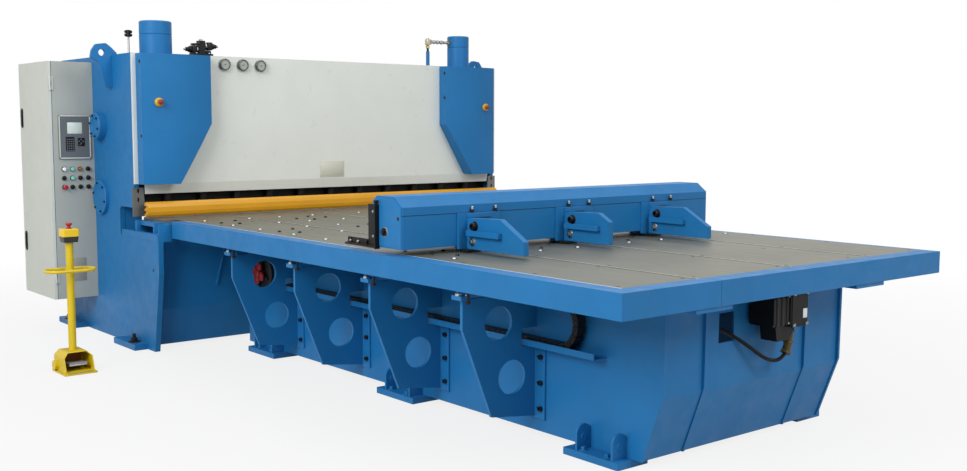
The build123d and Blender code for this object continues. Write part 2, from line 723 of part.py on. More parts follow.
FRONT_RAIL = [
    (TABLE_Y0, RAIL_Z0),
    (TABLE_Y0 + RAIL_W, RAIL_Z0),
    (TABLE_Y0 + RAIL_W, RAIL_Z0 + RAIL_T),
    (TABLE_Y0 + RAIL_T, RAIL_Z0 + RAIL_T),
    (TABLE_Y0 + RAIL_T, PLATE_Z0),
    (TABLE_Y0 + RAIL_W, PLATE_Z0),
    (TABLE_Y0 + RAIL_W, DECK_Z),
    (TABLE_Y0, DECK_Z),
]

with BuildPart() as front_rail:
    plate_x(FRONT_RAIL, TABLE_X0 + RAIL_T, RAIL_SEAM - 1)
    plate_x(FRONT_RAIL, RAIL_SEAM + 1, TABLE_X1 - RAIL_T)
save(front_rail, "front_rail")


# Deck plates between the slots, the rear ones with pockets for small rollers
def deck_strips():
    """The x limits of the plates between the slots."""
    edges = [TABLE_X0 + RAIL_W]
    for slot_x in SLOTS_X:
        edges += [slot_x - SLOT_W / 2, slot_x + SLOT_W / 2]
    edges.append(TABLE_X1 - RIGHT_RAIL_W)
    return [(edges[i], edges[i + 1]) for i in range(0, len(edges), 2)]


with BuildPart() as front_deck:
    for strip in deck_strips():
        block(*strip, TABLE_Y0 + RAIL_W, DECK_SPLIT - 1, PLATE_Z0, DECK_Z)
save(front_deck, "front_deck")

POCKET_COUNT = 4
POCKET_MID_Y = BED_FRONT - 530.0 - POCKET_PITCH * (POCKET_COUNT - 1) / 2

with BuildPart() as rear_deck:
    for strip in deck_strips():
        block(*strip, DECK_SPLIT + 1, BED_FRONT, PLATE_Z0, DECK_Z)
        with BuildSketch(Plane.XY.offset(PLATE_Z0)) as pockets:
            with Locations(((strip[0] + strip[1]) / 2, POCKET_MID_Y)):
                with GridLocations(1, POCKET_PITCH, 1, POCKET_COUNT):
                    with Locations(Location((0, 0), 35)):
                        with GridLocations(210, 149, 2, 2):
                            Rectangle(POCKET_L, POCKET_W)
        extrude(pockets.sketch, amount=DECK_T, mode=Mode.SUBTRACT)
save(rear_deck, "rear_deck")

# Frame under the deck: tubes across the base and a pair of bars along each slot
CROSS_Z1 = BASE_TOP + CROSS_H
CROSS_PITCH = (TABLE_L - 1025.0) / (CROSS_COUNT - 1)

with BuildPart() as cross_beams:
    for place in range(CROSS_COUNT):
        with BuildSketch(Plane.YZ.offset(TABLE_X0 + RAIL_T)) as tube:
            with Locations((BASE_Y0 + CROSS_W + CROSS_PITCH * place, BASE_TOP + CROSS_H / 2)):
                Rectangle(CROSS_W, CROSS_H)
                Rectangle(CROSS_W - 10, CROSS_H - 10, mode=Mode.SUBTRACT)
        extrude(tube.sketch, amount=TABLE_W - 2 * RAIL_T)
save(cross_beams, "cross_beams")

with BuildPart() as slot_bars:
    for slot_x in SLOTS_X:
        for side in (-1, 1):
            edge_x = slot_x + side * SLOT_W / 2
            block(edge_x, edge_x + side * BAR_W, TABLE_Y0 + RAIL_W, BED_FRONT - 10, CROSS_Z1, PLATE_Z0)
save(slot_bars, "slot_bars")

# Base: two long walls, two short webs at the front, a rear panel and two stub joists
BASE_FRONT = [
    (BASE_Y0 - 6, BASE_TOP),
    (BASE_Y0, BASE_FOLD_Z),
    (BASE_Y0 + BASE_BACK, FOOT_T),
]
BASE_WALL = BASE_FRONT + [(BASE_Y1, FOOT_T), (BASE_Y1, BASE_TOP)]
BASE_WEB = BASE_FRONT + [
    (BASE_Y0 + BASE_BACK + WEB_D, FOOT_T),
    (BASE_Y0 + WEB_D, BASE_FOLD_Z),
    (BASE_Y0 + WEB_D, BASE_TOP),
]
PANEL = [
    (BASE_Y0 + PANEL_IN - 7, BASE_TOP - 5),
    (BASE_Y0 + PANEL_IN, BASE_FOLD_Z - 24),
    (BASE_Y0 + PANEL_IN + 124, FOOT_T + 2),
    (BASE_Y0 + PANEL_IN + 124 + PANEL_T, FOOT_T + 2),
    (BASE_Y0 + PANEL_IN + PANEL_T, BASE_FOLD_Z - 24),
    (BASE_Y0 + PANEL_IN - 7 + PANEL_T, BASE_TOP - 5),
]
WALL_IN = BASE_HALF - WALL_T

with BuildPart() as table_base:
    for side in (-1, 1):
        plate_x(BASE_WALL, TABLE_MID + side * WALL_IN, TABLE_MID + side * BASE_HALF)
    for web_x in WEBS_X:
        plate_x(BASE_WEB, web_x, web_x + WALL_T)
    block(TABLE_MID - WALL_IN, TABLE_MID + WALL_IN, BASE_Y1 - 60, BASE_Y1, 300, BASE_TOP)
    for joist_x in (TABLE_MID - BASE_HALF + 57, TABLE_MID + BASE_HALF - 127):
        block(joist_x - JOIST_W / 2, joist_x + JOIST_W / 2, TABLE_Y0 + 8, BASE_Y0 + PANEL_IN - 8, RAIL_Z0 - JOIST_H, RAIL_Z0)
save(table_base, "table_base")

with BuildPart() as base_front_panels:
    plate_x(PANEL, TABLE_MID - WALL_IN, WEBS_X[0])
    plate_x(PANEL, WEBS_X[0] + WALL_T, WEBS_X[1])
    plate_x(PANEL, WEBS_X[1] + WALL_T, TABLE_MID + WALL_IN)
    block(MOTOR_X - 372, MOTOR_X - 250, BASE_Y0, BASE_Y0 + 120, 610, 765, mode=Mode.SUBTRACT)
save(base_front_panels, "base_front_panels")


# Gussets outside the base walls, with caps, wall flanges and levelling screws
def gusset(sign, y):
    """One gusset on the side of the base given by sign."""
    wall = TABLE_MID + sign * BASE_HALF
    tip = wall + sign * GUSSET_W
    outline_points = [
        (wall, GUSSET_TOP),
        (tip, GUSSET_TOP),
        (tip, GUSSET_TOP - 160),
        (wall + sign * 320, FOOT_T + 122),
        (wall, FOOT_T + 82),
    ]
    with BuildSketch(Plane.XZ.offset(-y - GUSSET_T / 2)) as outline:
        Polygon(*outline_points, align=None)
        with Locations((wall + sign * 276, GUSSET_TOP - 151), (wall + sign * 180, GUSSET_TOP - 455)):
            Circle(GUSSET_R, mode=Mode.SUBTRACT)
    extrude(outline.sketch, amount=GUSSET_T)
    notch = wall + sign * (TRAY_W + 15)
    block(wall, notch, y - GUSSET_T / 2, y + GUSSET_T / 2, TRAY_Z - 6, TRAY_Z + 92, mode=Mode.SUBTRACT)
    block(tip - sign * 25, tip + sign * 34, y - 40, y + 40, GUSSET_TOP, GUSSET_TOP + CAP_T)
    bar((tip + sign * 20, y, GUSSET_TOP + CAP_T), UP, 12, RAIL_Z0 - GUSSET_TOP - CAP_T)
    block(wall, wall + sign * 12, y - 90, y + 40, FOOT_T + 72, TRAY_Z - 17)


with BuildPart() as left_gussets:
    for gusset_y in GUSSETS_Y:
        gusset(-1, gusset_y)
save(left_gussets, "left_gussets")

with BuildPart() as right_gussets:
    for gusset_y in GUSSETS_Y:
        gusset(1, gusset_y)
save(right_gussets, "right_gussets")


# Foot plates under the walls, each with two arched lugs and two floor bolt holes
def foot(sign, y):
    """One foot plate with its lugs."""
    wall = TABLE_MID + sign * BASE_HALF
    block(wall - sign * FOOT_OUT, wall + sign * FOOT_OUT, y - FOOT_HALF_L, y + FOOT_HALF_L, 0, FOOT_T)
    half = FOOT_OUT / 2 - 4
    for lug_y in (y - 147, y + 109):
        with BuildSketch(Plane.XZ.offset(-lug_y - 7)) as arch:
            with Locations((wall + sign * half, FOOT_T + 42)):
                Rectangle(2 * half, 84)
            with Locations((wall + sign * half, FOOT_T + 84)):
                Circle(half)
        extrude(arch.sketch, amount=14)
    for hole_y in (y - 85, y + 85):
        bar((wall + sign * 72, hole_y, 0), UP, FOOT_HOLE_R, FOOT_T, mode=Mode.SUBTRACT)


with BuildPart() as foot_plates:
    for foot_y in FEET_Y:
        foot(-1, foot_y)
        foot(1, foot_y)
save(foot_plates, "foot_plates")

# Cable tray along the left wall, and the linked chain that lies in it and bends back
WALL_X = TABLE_MID - BASE_HALF
TRAY_Y0 = BASE_Y0 + 386.0
TRAY_Y1 = BASE_Y1 - 630.0
TRAY = [
    (WALL_X, TRAY_Z),
    (WALL_X - TRAY_W, TRAY_Z),
    (WALL_X - TRAY_W, TRAY_Z + TRAY_H),
    (WALL_X - TRAY_W + TRAY_T, TRAY_Z + TRAY_H),
    (WALL_X - TRAY_W + TRAY_T, TRAY_Z + TRAY_T),
    (WALL_X, TRAY_Z + TRAY_T),
]
CHAIN_X = WALL_X - TRAY_W / 2
CHAIN_Y0 = TRAY_Y0 + 286.0
CHAIN_Z = TRAY_Z + TRAY_T + CHAIN_H / 2 + 2
LOWER_LINKS = 61
UPPER_LINKS = 4
BEND_LINKS = 8

with BuildPart() as cable_tray:
    plate_y(TRAY, TRAY_Y0, TRAY_Y1)
save(cable_tray, "cable_tray")


def chain_band(width, height):
    """A band of one width and height along the chain's whole path."""
    with BuildSketch(Plane.YZ.offset(CHAIN_X - width / 2)) as band:
        with Locations((CHAIN_Y0, CHAIN_Z + CHAIN_R)):
            Circle(CHAIN_R + height / 2)
            Circle(CHAIN_R - height / 2, mode=Mode.SUBTRACT)
        with Locations((CHAIN_Y0 + CHAIN_R, CHAIN_Z + CHAIN_R)):
            Rectangle(2 * CHAIN_R, 2 * CHAIN_R + 2 * height, mode=Mode.SUBTRACT)
        lower = LOWER_LINKS * LINK_PITCH
        upper = UPPER_LINKS * LINK_PITCH
        with Locations((CHAIN_Y0 + lower / 2, CHAIN_Z)):
            Rectangle(lower, height)
        with Locations((CHAIN_Y0 + upper / 2, CHAIN_Z + 2 * CHAIN_R)):
            Rectangle(upper, height)
    extrude(band.sketch, amount=width)


def chain_links():
    """The raised side plates, one pair of faces to each link."""
    with BuildSketch(Plane.YZ.offset(CHAIN_X - CHAIN_W / 2)) as links:
        with Locations((CHAIN_Y0 + LOWER_LINKS * LINK_PITCH / 2, CHAIN_Z)):
            with GridLocations(LINK_PITCH, 1, LOWER_LINKS, 1):
                Rectangle(LINK_PITCH - 7, CHAIN_H)
        with Locations((CHAIN_Y0 + UPPER_LINKS * LINK_PITCH / 2, CHAIN_Z + 2 * CHAIN_R)):
            with GridLocations(LINK_PITCH, 1, UPPER_LINKS, 1):
                Rectangle(LINK_PITCH - 7, CHAIN_H)
        with Locations((CHAIN_Y0, CHAIN_Z + CHAIN_R)):
            with PolarLocations(CHAIN_R, BEND_LINKS, 90 + 90 / BEND_LINKS, 180):
                Rectangle(CHAIN_H, LINK_PITCH - 7)
    extrude(links.sketch, amount=CHAIN_W)


with BuildPart() as cable_chain:
    chain_band(CHAIN_W - 8, CHAIN_H - 8)
    chain_links()
save(cable_chain, "cable_chain")

# Servo motor: gearbox under the front rail, square motor beside it and a cable outlet below
SERVO_BELLY = [
    (MOTOR_X + 52, 677),
    (MOTOR_X - 10, 677),
    (MOTOR_X - 10, 690),
    (MOTOR_X - 92, 690),
    (MOTOR_X - 76, 603),
    (MOTOR_X + 28, 603),
    (MOTOR_X + 60, 640),
]
CABLE_MOUTH = (MOTOR_X + 98.0, MOTOR_Y, 640.0)

with BuildPart() as servo_motor:
    block(MOTOR_X - 10, MOTOR_X + 123, MOTOR_Y - 95, MOTOR_Y + 75, 677, RAIL_Z0)
    block(MOTOR_X - 22, MOTOR_X - 10, MOTOR_Y - 92, MOTOR_Y + 75, 682, 858)
    with BuildSketch(Plane.YZ.offset(MOTOR_X - 156)) as housing:
        with Locations((MOTOR_Y - 8, 768)):
            RectangleRounded(156, 156, 16)
    extrude(housing.sketch, amount=134)
    plate_y(SERVO_BELLY, MOTOR_Y - 50, MOTOR_Y + 50)
    bar(CABLE_MOUTH, UP, OUTLET_R, 677 - CABLE_MOUTH[2])
save(servo_motor, "servo_motor")

# The motor's conduit: it drops from its outlet, turns back and goes in at the base panel
CABLE_ROUTE = [
    (98, 0, 640),
    (98, 0, 574),
    (68, 0, 508),
    (-2, 6, 480),
    (-84, 22, 508),
    (-163, 45, 566),
    (-259, 75, 632),
    (-310, 130, 672),
]
CABLE_POINTS = [Vector(MOTOR_X + p[0], MOTOR_Y + p[1], p[2]) for p in CABLE_ROUTE]


def route_radii(points):
    """The largest bends that the runs of a route allow."""
    radii = []
    for before, here, after in zip(points, points[1:], points[2:]):
        first, second = here - before, after - here
        half_turn = first.get_angle(second) / 2
        radii.append(0.45 * min(first.length, second.length) / math.tan(math.radians(half_turn)))
    return radii


CABLE_BENDS = route_radii(CABLE_POINTS)
print("conduit radii", [round(r) for r in CABLE_BENDS])

with BuildPart() as motor_cable:
    with BuildLine() as cable_path:
        FilletPolyline(*CABLE_POINTS, radius=CABLE_BENDS)
    with BuildSketch(Plane(origin=CABLE_POINTS[0], z_dir=CABLE_POINTS[1] - CABLE_POINTS[0])):
        Circle(CABLE_R)
    sweep(path=cable_path.wires()[0])
save(motor_cable, "motor_cable")

# Gauge beam: a welded trough closed by a folded cover, with keys in the deck's slots
BEAM_BODY = [
    (BEAM_Y0, BEAM_Z0),
    (BEAM_Y1 - 50, BEAM_Z0),
    (BEAM_Y1, BEAM_Z0 + 30),
    (BEAM_Y1, BEAM_SEAM),
    (BEAM_Y0, BEAM_SEAM),
]
BEAM_COVER = [
    (BEAM_Y0, BEAM_SEAM),
    (BEAM_Y0, BEAM_SEAM + 47),
    (BEAM_Y0 + 77, BEAM_TOP),
    (BEAM_Y1 - 43, BEAM_TOP),
    (BEAM_Y1, BEAM_TOP - 31),
    (BEAM_Y1, BEAM_SEAM),
]

with BuildPart() as beam_body:
    plate_x(BEAM_BODY, BEAM_X0, BEAM_X1)
    offset(amount=-BEAM_WALL, openings=beam_body.faces().sort_by(Axis.Z)[-1])
    for slot_x in SLOTS_X:
        block(slot_x - KEY_T / 2, slot_x + KEY_T / 2, BEAM_Y0 + 40, BEAM_Y1 - 60, BEAM_Z0 - KEY_DROP, BEAM_Z0)
save(beam_body, "beam_body")

with BuildPart() as beam_cover:
    plate_x(BEAM_COVER, BEAM_X0, BEAM_X1)
    offset(amount=-BEAM_WALL, openings=beam_cover.faces().sort_by(Axis.Z)[0])
save(beam_cover, "beam_cover")


# Arms of the gauge beam: a bolted plate, a sloping side plate and a hooked ledge on it
def arm(x, reach):
    """One arm with its mounting plate."""
    front = BEAM_Y0 - 20
    outline_points = [
        (front, BEAM_Z0 + 159),
        (front - 290, BEAM_Z0 + 168),
        (BEAM_Y0 - reach, BEAM_Z0 + 168 - (reach - 310) * 0.55),
        (BEAM_Y0 - reach, DECK_Z + 18),
        (front, DECK_Z + 18),
    ]
    block(x - 59, x + 241, front, BEAM_Y0, DECK_Z + 18, BEAM_SEAM)
    plate_x(outline_points, x, x + ARM_W)
    block(x, x + 175, front - 12, front, BEAM_SEAM - 27, BEAM_SEAM - 5)
    block(x - 30, x, front - 300, front - 25, BEAM_Z0 + 61, BEAM_Z0 + 77)
    block(x - 30, x - 22, front - 300, front - 25, BEAM_Z0 + 77, BEAM_Z0 + 92)
    block(x - 30, x, front - 308, front - 300, BEAM_Z0 + 61, BEAM_Z0 + 92)


with BuildPart() as gauge_arms:
    for arm_x, arm_reach in zip(ARMS_X, ARM_REACHES):
        arm(arm_x, arm_reach)
save(gauge_arms, "gauge_arms")

# Sliding feet under the arms
with BuildPart() as arm_feet:
    for arm_x in ARMS_X:
        block(arm_x - 40, arm_x + ARM_W + 20, BEAM_Y0 - 75, BEAM_Y0 - 5, DECK_Z + FOOT_GAP, DECK_Z + 18)
save(arm_feet, "arm_feet")

# Angle bracket on the left end of the beam
ANGLE = [
    (BEAM_Y1 - 68, BEAM_Z0 - 9),
    (BEAM_Y1 + 32, BEAM_Z0 - 9),
    (BEAM_Y1 + 247, BEAM_Z0 - 3),
    (BEAM_Y1 + 247, BEAM_Z0 + 39),
    (BEAM_Y1 + 32, BEAM_Z0 + 39),
    (BEAM_Y1 + 32, BEAM_SEAM + 53),
    (BEAM_Y1 - 68, BEAM_SEAM + 53),
]

with BuildPart() as side_bracket:
    plate_x(ANGLE, BEAM_X0 - 10, BEAM_X0)
    block(BEAM_X0 - 32, BEAM_X0 - 10, BEAM_Y1 - 68, BEAM_Y1 - 58, BEAM_Z0 - 9, BEAM_SEAM + 53)
    block(BEAM_X0 - 32, BEAM_X0 - 10, BEAM_Y1 - 58, BEAM_Y1 + 247, BEAM_Z0 - 3, BEAM_Z0 + 7)
save(side_bracket, "side_bracket")

# Cabinet on the left side frame, open towards its door
BODY_X0 = CAB_X0 + DOOR_T
HINGES_Z = (CAB_Z0 + 135.0, CAB_Z1 - 231.0)
KNUCKLE = HINGE_H / 3

with BuildPart() as cabinet_body:
    block(BODY_X0, -FRAME_HALF, CAB_Y0, CAB_Y1, CAB_Z0, CAB_Z1)
    offset(amount=-CAB_T, openings=cabinet_body.faces().sort_by(Axis.X)[0])
save(cabinet_body, "cabinet_body")

# Hinges: leaves on the cabinet's front with two knuckles and a pin each
with BuildPart() as door_hinges:
    for hinge_z in HINGES_Z:
        block(BODY_X0 + SEAT_GAP, BODY_X0 + 16, CAB_Y0 - 4, CAB_Y0, hinge_z, hinge_z + HINGE_H)
        for knuckle_z in (hinge_z, hinge_z + 2 * KNUCKLE):
            block(HINGE_X, BODY_X0 + SEAT_GAP, CAB_Y0 - 5, CAB_Y0 - 1, knuckle_z, knuckle_z + KNUCKLE)
            bar((HINGE_X, HINGE_Y, knuckle_z), UP, HINGE_R, KNUCKLE)
        bar((HINGE_X, HINGE_Y, hinge_z), UP, HINGE_PIN_R, HINGE_H)
save(door_hinges, "door_hinges")

# Door: a folded tray with its own knuckles
with BuildPart() as cabinet_door:
    block(CAB_X0, BODY_X0 - SEAT_GAP, CAB_Y0, CAB_Y1, CAB_Z0, CAB_Z1)
    offset(amount=-DOOR_SHEET, openings=cabinet_door.faces().sort_by(Axis.X)[-1])
    for hinge_z in HINGES_Z:
        z0 = hinge_z + KNUCKLE + PIN_GAP
        height = KNUCKLE - 2 * PIN_GAP
        block(HINGE_X - HINGE_R, HINGE_X, HINGE_Y, CAB_Y0, z0, z0 + height)
        bar((HINGE_X, HINGE_Y, z0), UP, HINGE_R, height)
        bar((HINGE_X, HINGE_Y, z0), UP, HINGE_PIN_R + PIN_GAP, height, mode=Mode.SUBTRACT)
save(cabinet_door, "cabinet_door")

# Swing latches on the door
LATCH_L = 165.0
LATCH_W = 46.0

with BuildPart() as door_latches:
    for latch_z in (CAB_Z0 + 350 + LATCH_L / 2, CAB_Z1 - 370 - LATCH_L / 2):
        with BuildSketch(Plane(origin=(CAB_X0, CAB_Y1 - 58, latch_z), z_dir=(-1, 0, 0))) as latch:
            SlotOverall(LATCH_L, LATCH_W)
        extrude(latch.sketch, amount=6)
        with BuildSketch(Plane(origin=(CAB_X0 - 6, CAB_Y1 - 58, latch_z), z_dir=(-1, 0, 0))) as handle:
            SlotOverall(LATCH_L - 30, LATCH_W - 22)
        extrude(handle.sketch, amount=5)
save(door_latches, "door_latches")

# Control panel with a sunk screen and raised keypads, and the buttons below it
PANEL_Z = CAB_Z0 + 1316.0
PANEL_FACE = CAB_Y0 - 15.0

with BuildPart() as control_panel:
    with BuildSketch(Plane.XZ.offset(-CAB_Y0)) as bezel:
        with Locations((PANEL_X, PANEL_Z)):
            RectangleRounded(PANEL_W, PANEL_H, 10)
    extrude(bezel.sketch, amount=15)
    chamfer(control_panel.faces().sort_by(Axis.Y)[0].edges(), 4)
    block(PANEL_X - 63, PANEL_X + 63, PANEL_FACE, PANEL_FACE + 4, PANEL_Z + 24, PANEL_Z + 121, mode=Mode.SUBTRACT)
    block(PANEL_X - 76, PANEL_X - 7, PANEL_FACE - 3, PANEL_FACE, PANEL_Z - 113, PANEL_Z + 1)
    block(PANEL_X + 21, PANEL_X + 76, PANEL_FACE - 3, PANEL_FACE, PANEL_Z - 73, PANEL_Z - 8)
save(control_panel, "control_panel")

BUTTON = [(0, 0), (19, 0), (19, 4), (15, 7), (15, 14), (12, 18), (0, 18)]

with BuildPart() as push_buttons:
    for row in range(3):
        for column in range(4):
            button_x = PANEL_X + 5 + 65 * (column - 1.5)
            turned((button_x, CAB_Y0, PANEL_Z - 259 - 73 * row), FORWARD, BUTTON)
save(push_buttons, "push_buttons")

# Pedal stand beside the shear: a hood over the pedal, open to the operator
HOOD_FRONT = STAND_Y - HOOD_D + 90.0
HOOD_OUTLINE = [
    (-HOOD_W / 2, STAND_BASE_T),
    (-HOOD_W / 2, HOOD_H - 34),
    (-HOOD_W / 2 + 34, HOOD_H),
    (HOOD_W / 2 - 34, HOOD_H),
    (HOOD_W / 2, HOOD_H - 34),
    (HOOD_W / 2, STAND_BASE_T),
]
HOOD_MOUTH = [
    (HOOD_FRONT - 1, STAND_BASE_T + 10),
    (HOOD_FRONT - 1, HOOD_H + 1),
    (HOOD_FRONT + 60, HOOD_H + 1),
    (HOOD_FRONT + 30, HOOD_H - 40),
]
PIN_Y = STAND_Y + 40.0

with BuildPart() as stand_hood:
    plate_y([(STAND_X + p[0], p[1]) for p in HOOD_OUTLINE], HOOD_FRONT, STAND_Y + 90)
    offset(amount=-HOOD_T, openings=stand_hood.faces().filter_by(Axis.Y).sort_by(Axis.Y)[0])
    plate_x(HOOD_MOUTH, STAND_X - HOOD_W, STAND_X + HOOD_W, mode=Mode.SUBTRACT)
    half_w = HOOD_W / 2 + 12
    block(STAND_X - half_w, STAND_X + half_w, HOOD_FRONT - 20, STAND_Y + 100, 0, STAND_BASE_T)
    for side in (-1, 1):
        bar((STAND_X + side * HOOD_W / 2, PIN_Y, PEDAL_Z), (side, 0, 0), 34, 22)
    bar((STAND_X - HOOD_W / 2, PIN_Y, PEDAL_Z), (1, 0, 0), PEDAL_PIN_R, HOOD_W)
save(stand_hood, "stand_hood")

PEDAL = [
    (STAND_Y - 105, PEDAL_Z + 6),
    (PIN_Y, PEDAL_Z - 12),
    (PIN_Y + 12, PEDAL_Z),
    (PIN_Y, PEDAL_Z + 12),
    (STAND_Y - 105, PEDAL_Z + 26),
]

with BuildPart() as foot_pedal:
    plate_x(PEDAL, STAND_X - PEDAL_W / 2, STAND_X + PEDAL_W / 2)
    for rib_y in range(5):
        y0 = STAND_Y - 98 + 22 * rib_y
        block(STAND_X - PEDAL_W / 2, STAND_X + PEDAL_W / 2, y0, y0 + 8, PEDAL_Z + 14, PEDAL_Z + 29 - 2 * rib_y)
    bar((STAND_X - PEDAL_W / 2, PIN_Y, PEDAL_Z), (1, 0, 0), PEDAL_PIN_R + PIN_GAP, PEDAL_W, mode=Mode.SUBTRACT)
save(foot_pedal, "foot_pedal")

# Post with its loop handle welded round it
with BuildPart() as stand_post:
    bar((STAND_X, STAND_Y, HOOD_H), UP, POST_R, POST_TOP - HOOD_H)
    with BuildLine(Plane.XY.offset(HANDLE_Z)) as loop:
        Line((STAND_X - 80, STAND_Y - 88), (STAND_X + 80, STAND_Y - 88))
        ThreePointArc((STAND_X + 80, STAND_Y - 88), (STAND_X + 168, STAND_Y), (STAND_X + 80, STAND_Y + 88))
        Line((STAND_X + 80, STAND_Y + 88), (STAND_X - 80, STAND_Y + 88))
        ThreePointArc((STAND_X - 80, STAND_Y + 88), (STAND_X - 168, STAND_Y), (STAND_X - 80, STAND_Y - 88))
    with BuildSketch(Plane(origin=(STAND_X, STAND_Y - 88, HANDLE_Z), z_dir=(1, 0, 0))):
        Circle(HANDLE_R)
    sweep(path=loop.wires()[0])
    bar((STAND_X, STAND_Y - 84, HANDLE_Z), (0, 1, 0), HANDLE_R - 2, 168)
save(stand_post, "stand_post")

# Stop box on the post: a tapered lower half, a rounded upper half and the mushroom button
with BuildPart() as stop_box:
    with BuildSketch(Plane.XY.offset(POST_TOP)) as foot_outline:
        with Locations((STAND_X, STAND_Y)):
            RectangleRounded(STOP_BOX_W - 14, STOP_BOX_W - 24, 8)
    with BuildSketch(Plane.XY.offset(POST_TOP + 40)) as waist_outline:
        with Locations((STAND_X, STAND_Y)):
            RectangleRounded(STOP_BOX_W - 4, STOP_BOX_W - 14, 8)
    loft([foot_outline.sketch, waist_outline.sketch])
    with BuildSketch(Plane.XY.offset(POST_TOP + 40)) as top_outline:
        with Locations((STAND_X, STAND_Y)):
            RectangleRounded(STOP_BOX_W, STOP_BOX_W - 10, 10)
    extrude(top_outline.sketch, amount=STOP_BOX_H - 40)
    chamfer(stop_box.faces().sort_by(Axis.Z)[-1].edges(), 4)
save(stop_box, "stop_box")

MUSHROOM = [(0, 0), (20, 0), (20, 4), (12, 6), (12, 18), (23, 30), (23, 36), (17, 41), (0, 42)]

with BuildPart() as stop_button:
    turned((STAND_X, STAND_Y, POST_TOP + STOP_BOX_H), UP, MUSHROOM)
save(stop_button, "stop_button")
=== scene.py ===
import math

import bmesh
import bpy
from mathutils import Matrix, Vector


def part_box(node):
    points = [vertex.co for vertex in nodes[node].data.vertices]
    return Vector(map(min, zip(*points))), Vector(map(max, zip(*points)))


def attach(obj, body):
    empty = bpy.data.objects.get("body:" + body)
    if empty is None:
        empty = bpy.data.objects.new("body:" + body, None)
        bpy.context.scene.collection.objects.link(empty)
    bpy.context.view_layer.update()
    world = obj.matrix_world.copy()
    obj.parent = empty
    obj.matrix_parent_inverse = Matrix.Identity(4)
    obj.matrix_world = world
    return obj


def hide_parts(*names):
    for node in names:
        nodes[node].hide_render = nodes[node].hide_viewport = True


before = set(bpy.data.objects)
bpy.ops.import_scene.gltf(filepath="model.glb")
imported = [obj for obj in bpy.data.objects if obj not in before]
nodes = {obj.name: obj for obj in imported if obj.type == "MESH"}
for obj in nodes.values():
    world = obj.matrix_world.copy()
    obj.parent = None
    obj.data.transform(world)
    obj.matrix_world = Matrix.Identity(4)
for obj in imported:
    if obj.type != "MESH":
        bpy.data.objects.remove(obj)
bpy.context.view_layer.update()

# Camera: stands in front of the table's left corner, at eye height, and looks slightly down
# along the table to the shear.
CAMERA_SPOT = (-5.2254, -9.0363, 1.7155)
CAMERA_TURN, CAMERA_DIP, CAMERA_ROLL = -39.458, 5.583, 0.15
lens = bpy.data.cameras.new("camera")
lens.lens = 41.93
lens.sensor_width = 36.0
camera = bpy.data.objects.new("camera", lens)
camera.matrix_world = (
    Matrix.Translation(CAMERA_SPOT)
    @ Matrix.Rotation(math.radians(CAMERA_TURN), 4, "Z")
    @ Matrix.Rotation(math.radians(90 - CAMERA_DIP), 4, "X")
    @ Matrix.Rotation(math.radians(CAMERA_ROLL), 4, "Z")
)
bpy.context.scene.collection.objects.link(camera)
bpy.context.scene.camera = camera
bpy.context.scene.view_settings.view_transform = "Standard"

# Motor conduit: a thin black corrugated hose that leaves the servo motor's outlet in a thicker
# olive elbow, turns back in one loose bend and goes into the opening of the base's front
# panel.


def corners_of(name):
    """The low and the high corner of a CAD node, to the micrometre."""
    return [tuple(round(c, 6) for c in corner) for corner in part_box(name)]


motor_high = corners_of("servo_motor")[1]
MOTOR = Vector((motor_high[0] - 0.123, motor_high[1] - 0.075, 0.0))
CONDUIT_ROUTE = [
    (0.098, 0.000, 0.640),
    (0.098, 0.000, 0.574),
    (0.068, 0.000, 0.508),
    (-0.002, 0.006, 0.480),
    (-0.084, 0.022, 0.508),
    (-0.163, 0.045, 0.566),
    (-0.259, 0.075, 0.632),
    (-0.310, 0.130, 0.672),
]
CONDUIT_R, CONDUIT_RIB, CONDUIT_PITCH = 0.010, 0.0016, 0.0045
ELBOW_R, ELBOW_RIB, ELBOW_PITCH, ELBOW_LENGTH = 0.024, 0.0035, 0.0075, 0.135
ELBOW_STEP = 0.004
ELBOW_NUTS = (0, 14, 29)


def shade(red, green, blue):
    """A colour written as on a colour card, 0 to 255, in the renderer's linear values."""
    linear = [((c / 255 + 0.055) / 1.055) ** 2.4 if c > 10 else c / 3294.6 for c in (red, green, blue)]
    return (*linear, 1.0)


def shader_group(name, inputs, outputs):
    """A node group with named inputs, given as (kind, name, value), and named outputs."""
    group = bpy.data.node_groups.new(name, "ShaderNodeTree")
    for kind, title, value in inputs:
        socket = group.interface.new_socket(title, in_out="INPUT", socket_type="NodeSocket" + kind)
        socket.default_value = value
    for kind, title in outputs:
        group.interface.new_socket(title, in_out="OUTPUT", socket_type="NodeSocket" + kind)
    return group, group.nodes.new("NodeGroupInput").outputs, group.nodes.new("NodeGroupOutput").inputs


def add(tree, kind, **settings):
    """A node in a tree, with its settings."""
    made = tree.nodes.new("ShaderNode" + kind)
    for name, value in settings.items():
        setattr(made, name, value)
    return made


def feed(tree, source, socket):
    """A plain value, or a link from another socket, into a socket."""
    if isinstance(source, (int, float, tuple)):
        socket.default_value = source
    else:
        tree.links.new(source, socket)


def mapped(tree, value, **ends):
    """A value moved from one range to another and kept inside it."""
    change = add(tree, "MapRange")
    feed(tree, value, change.inputs["Value"])
    for end, number in ends.items():
        change.inputs[end.replace("_", " ").title()].default_value = number
    return change.outputs["Result"]


def speckle(tree, scale, detail, where, low=0.35, high=0.65):
    """Soft noise between 0 and 1, fixed to the piece."""
    noise = add(tree, "TexNoise")
    noise.inputs["Detail"].default_value = detail
    feed(tree, scale, noise.inputs["Scale"])
    feed(tree, where, noise.inputs["Vector"])
    return mapped(tree, noise.outputs[0], from_min=low, from_max=high)


def arithmetic(tree, operation, first, second):
    """One step of arithmetic on two values or sockets."""
    step = add(tree, "Math", operation=operation)
    feed(tree, first, step.inputs[0])
    feed(tree, second, step.inputs[1])
    return step.outputs[0]


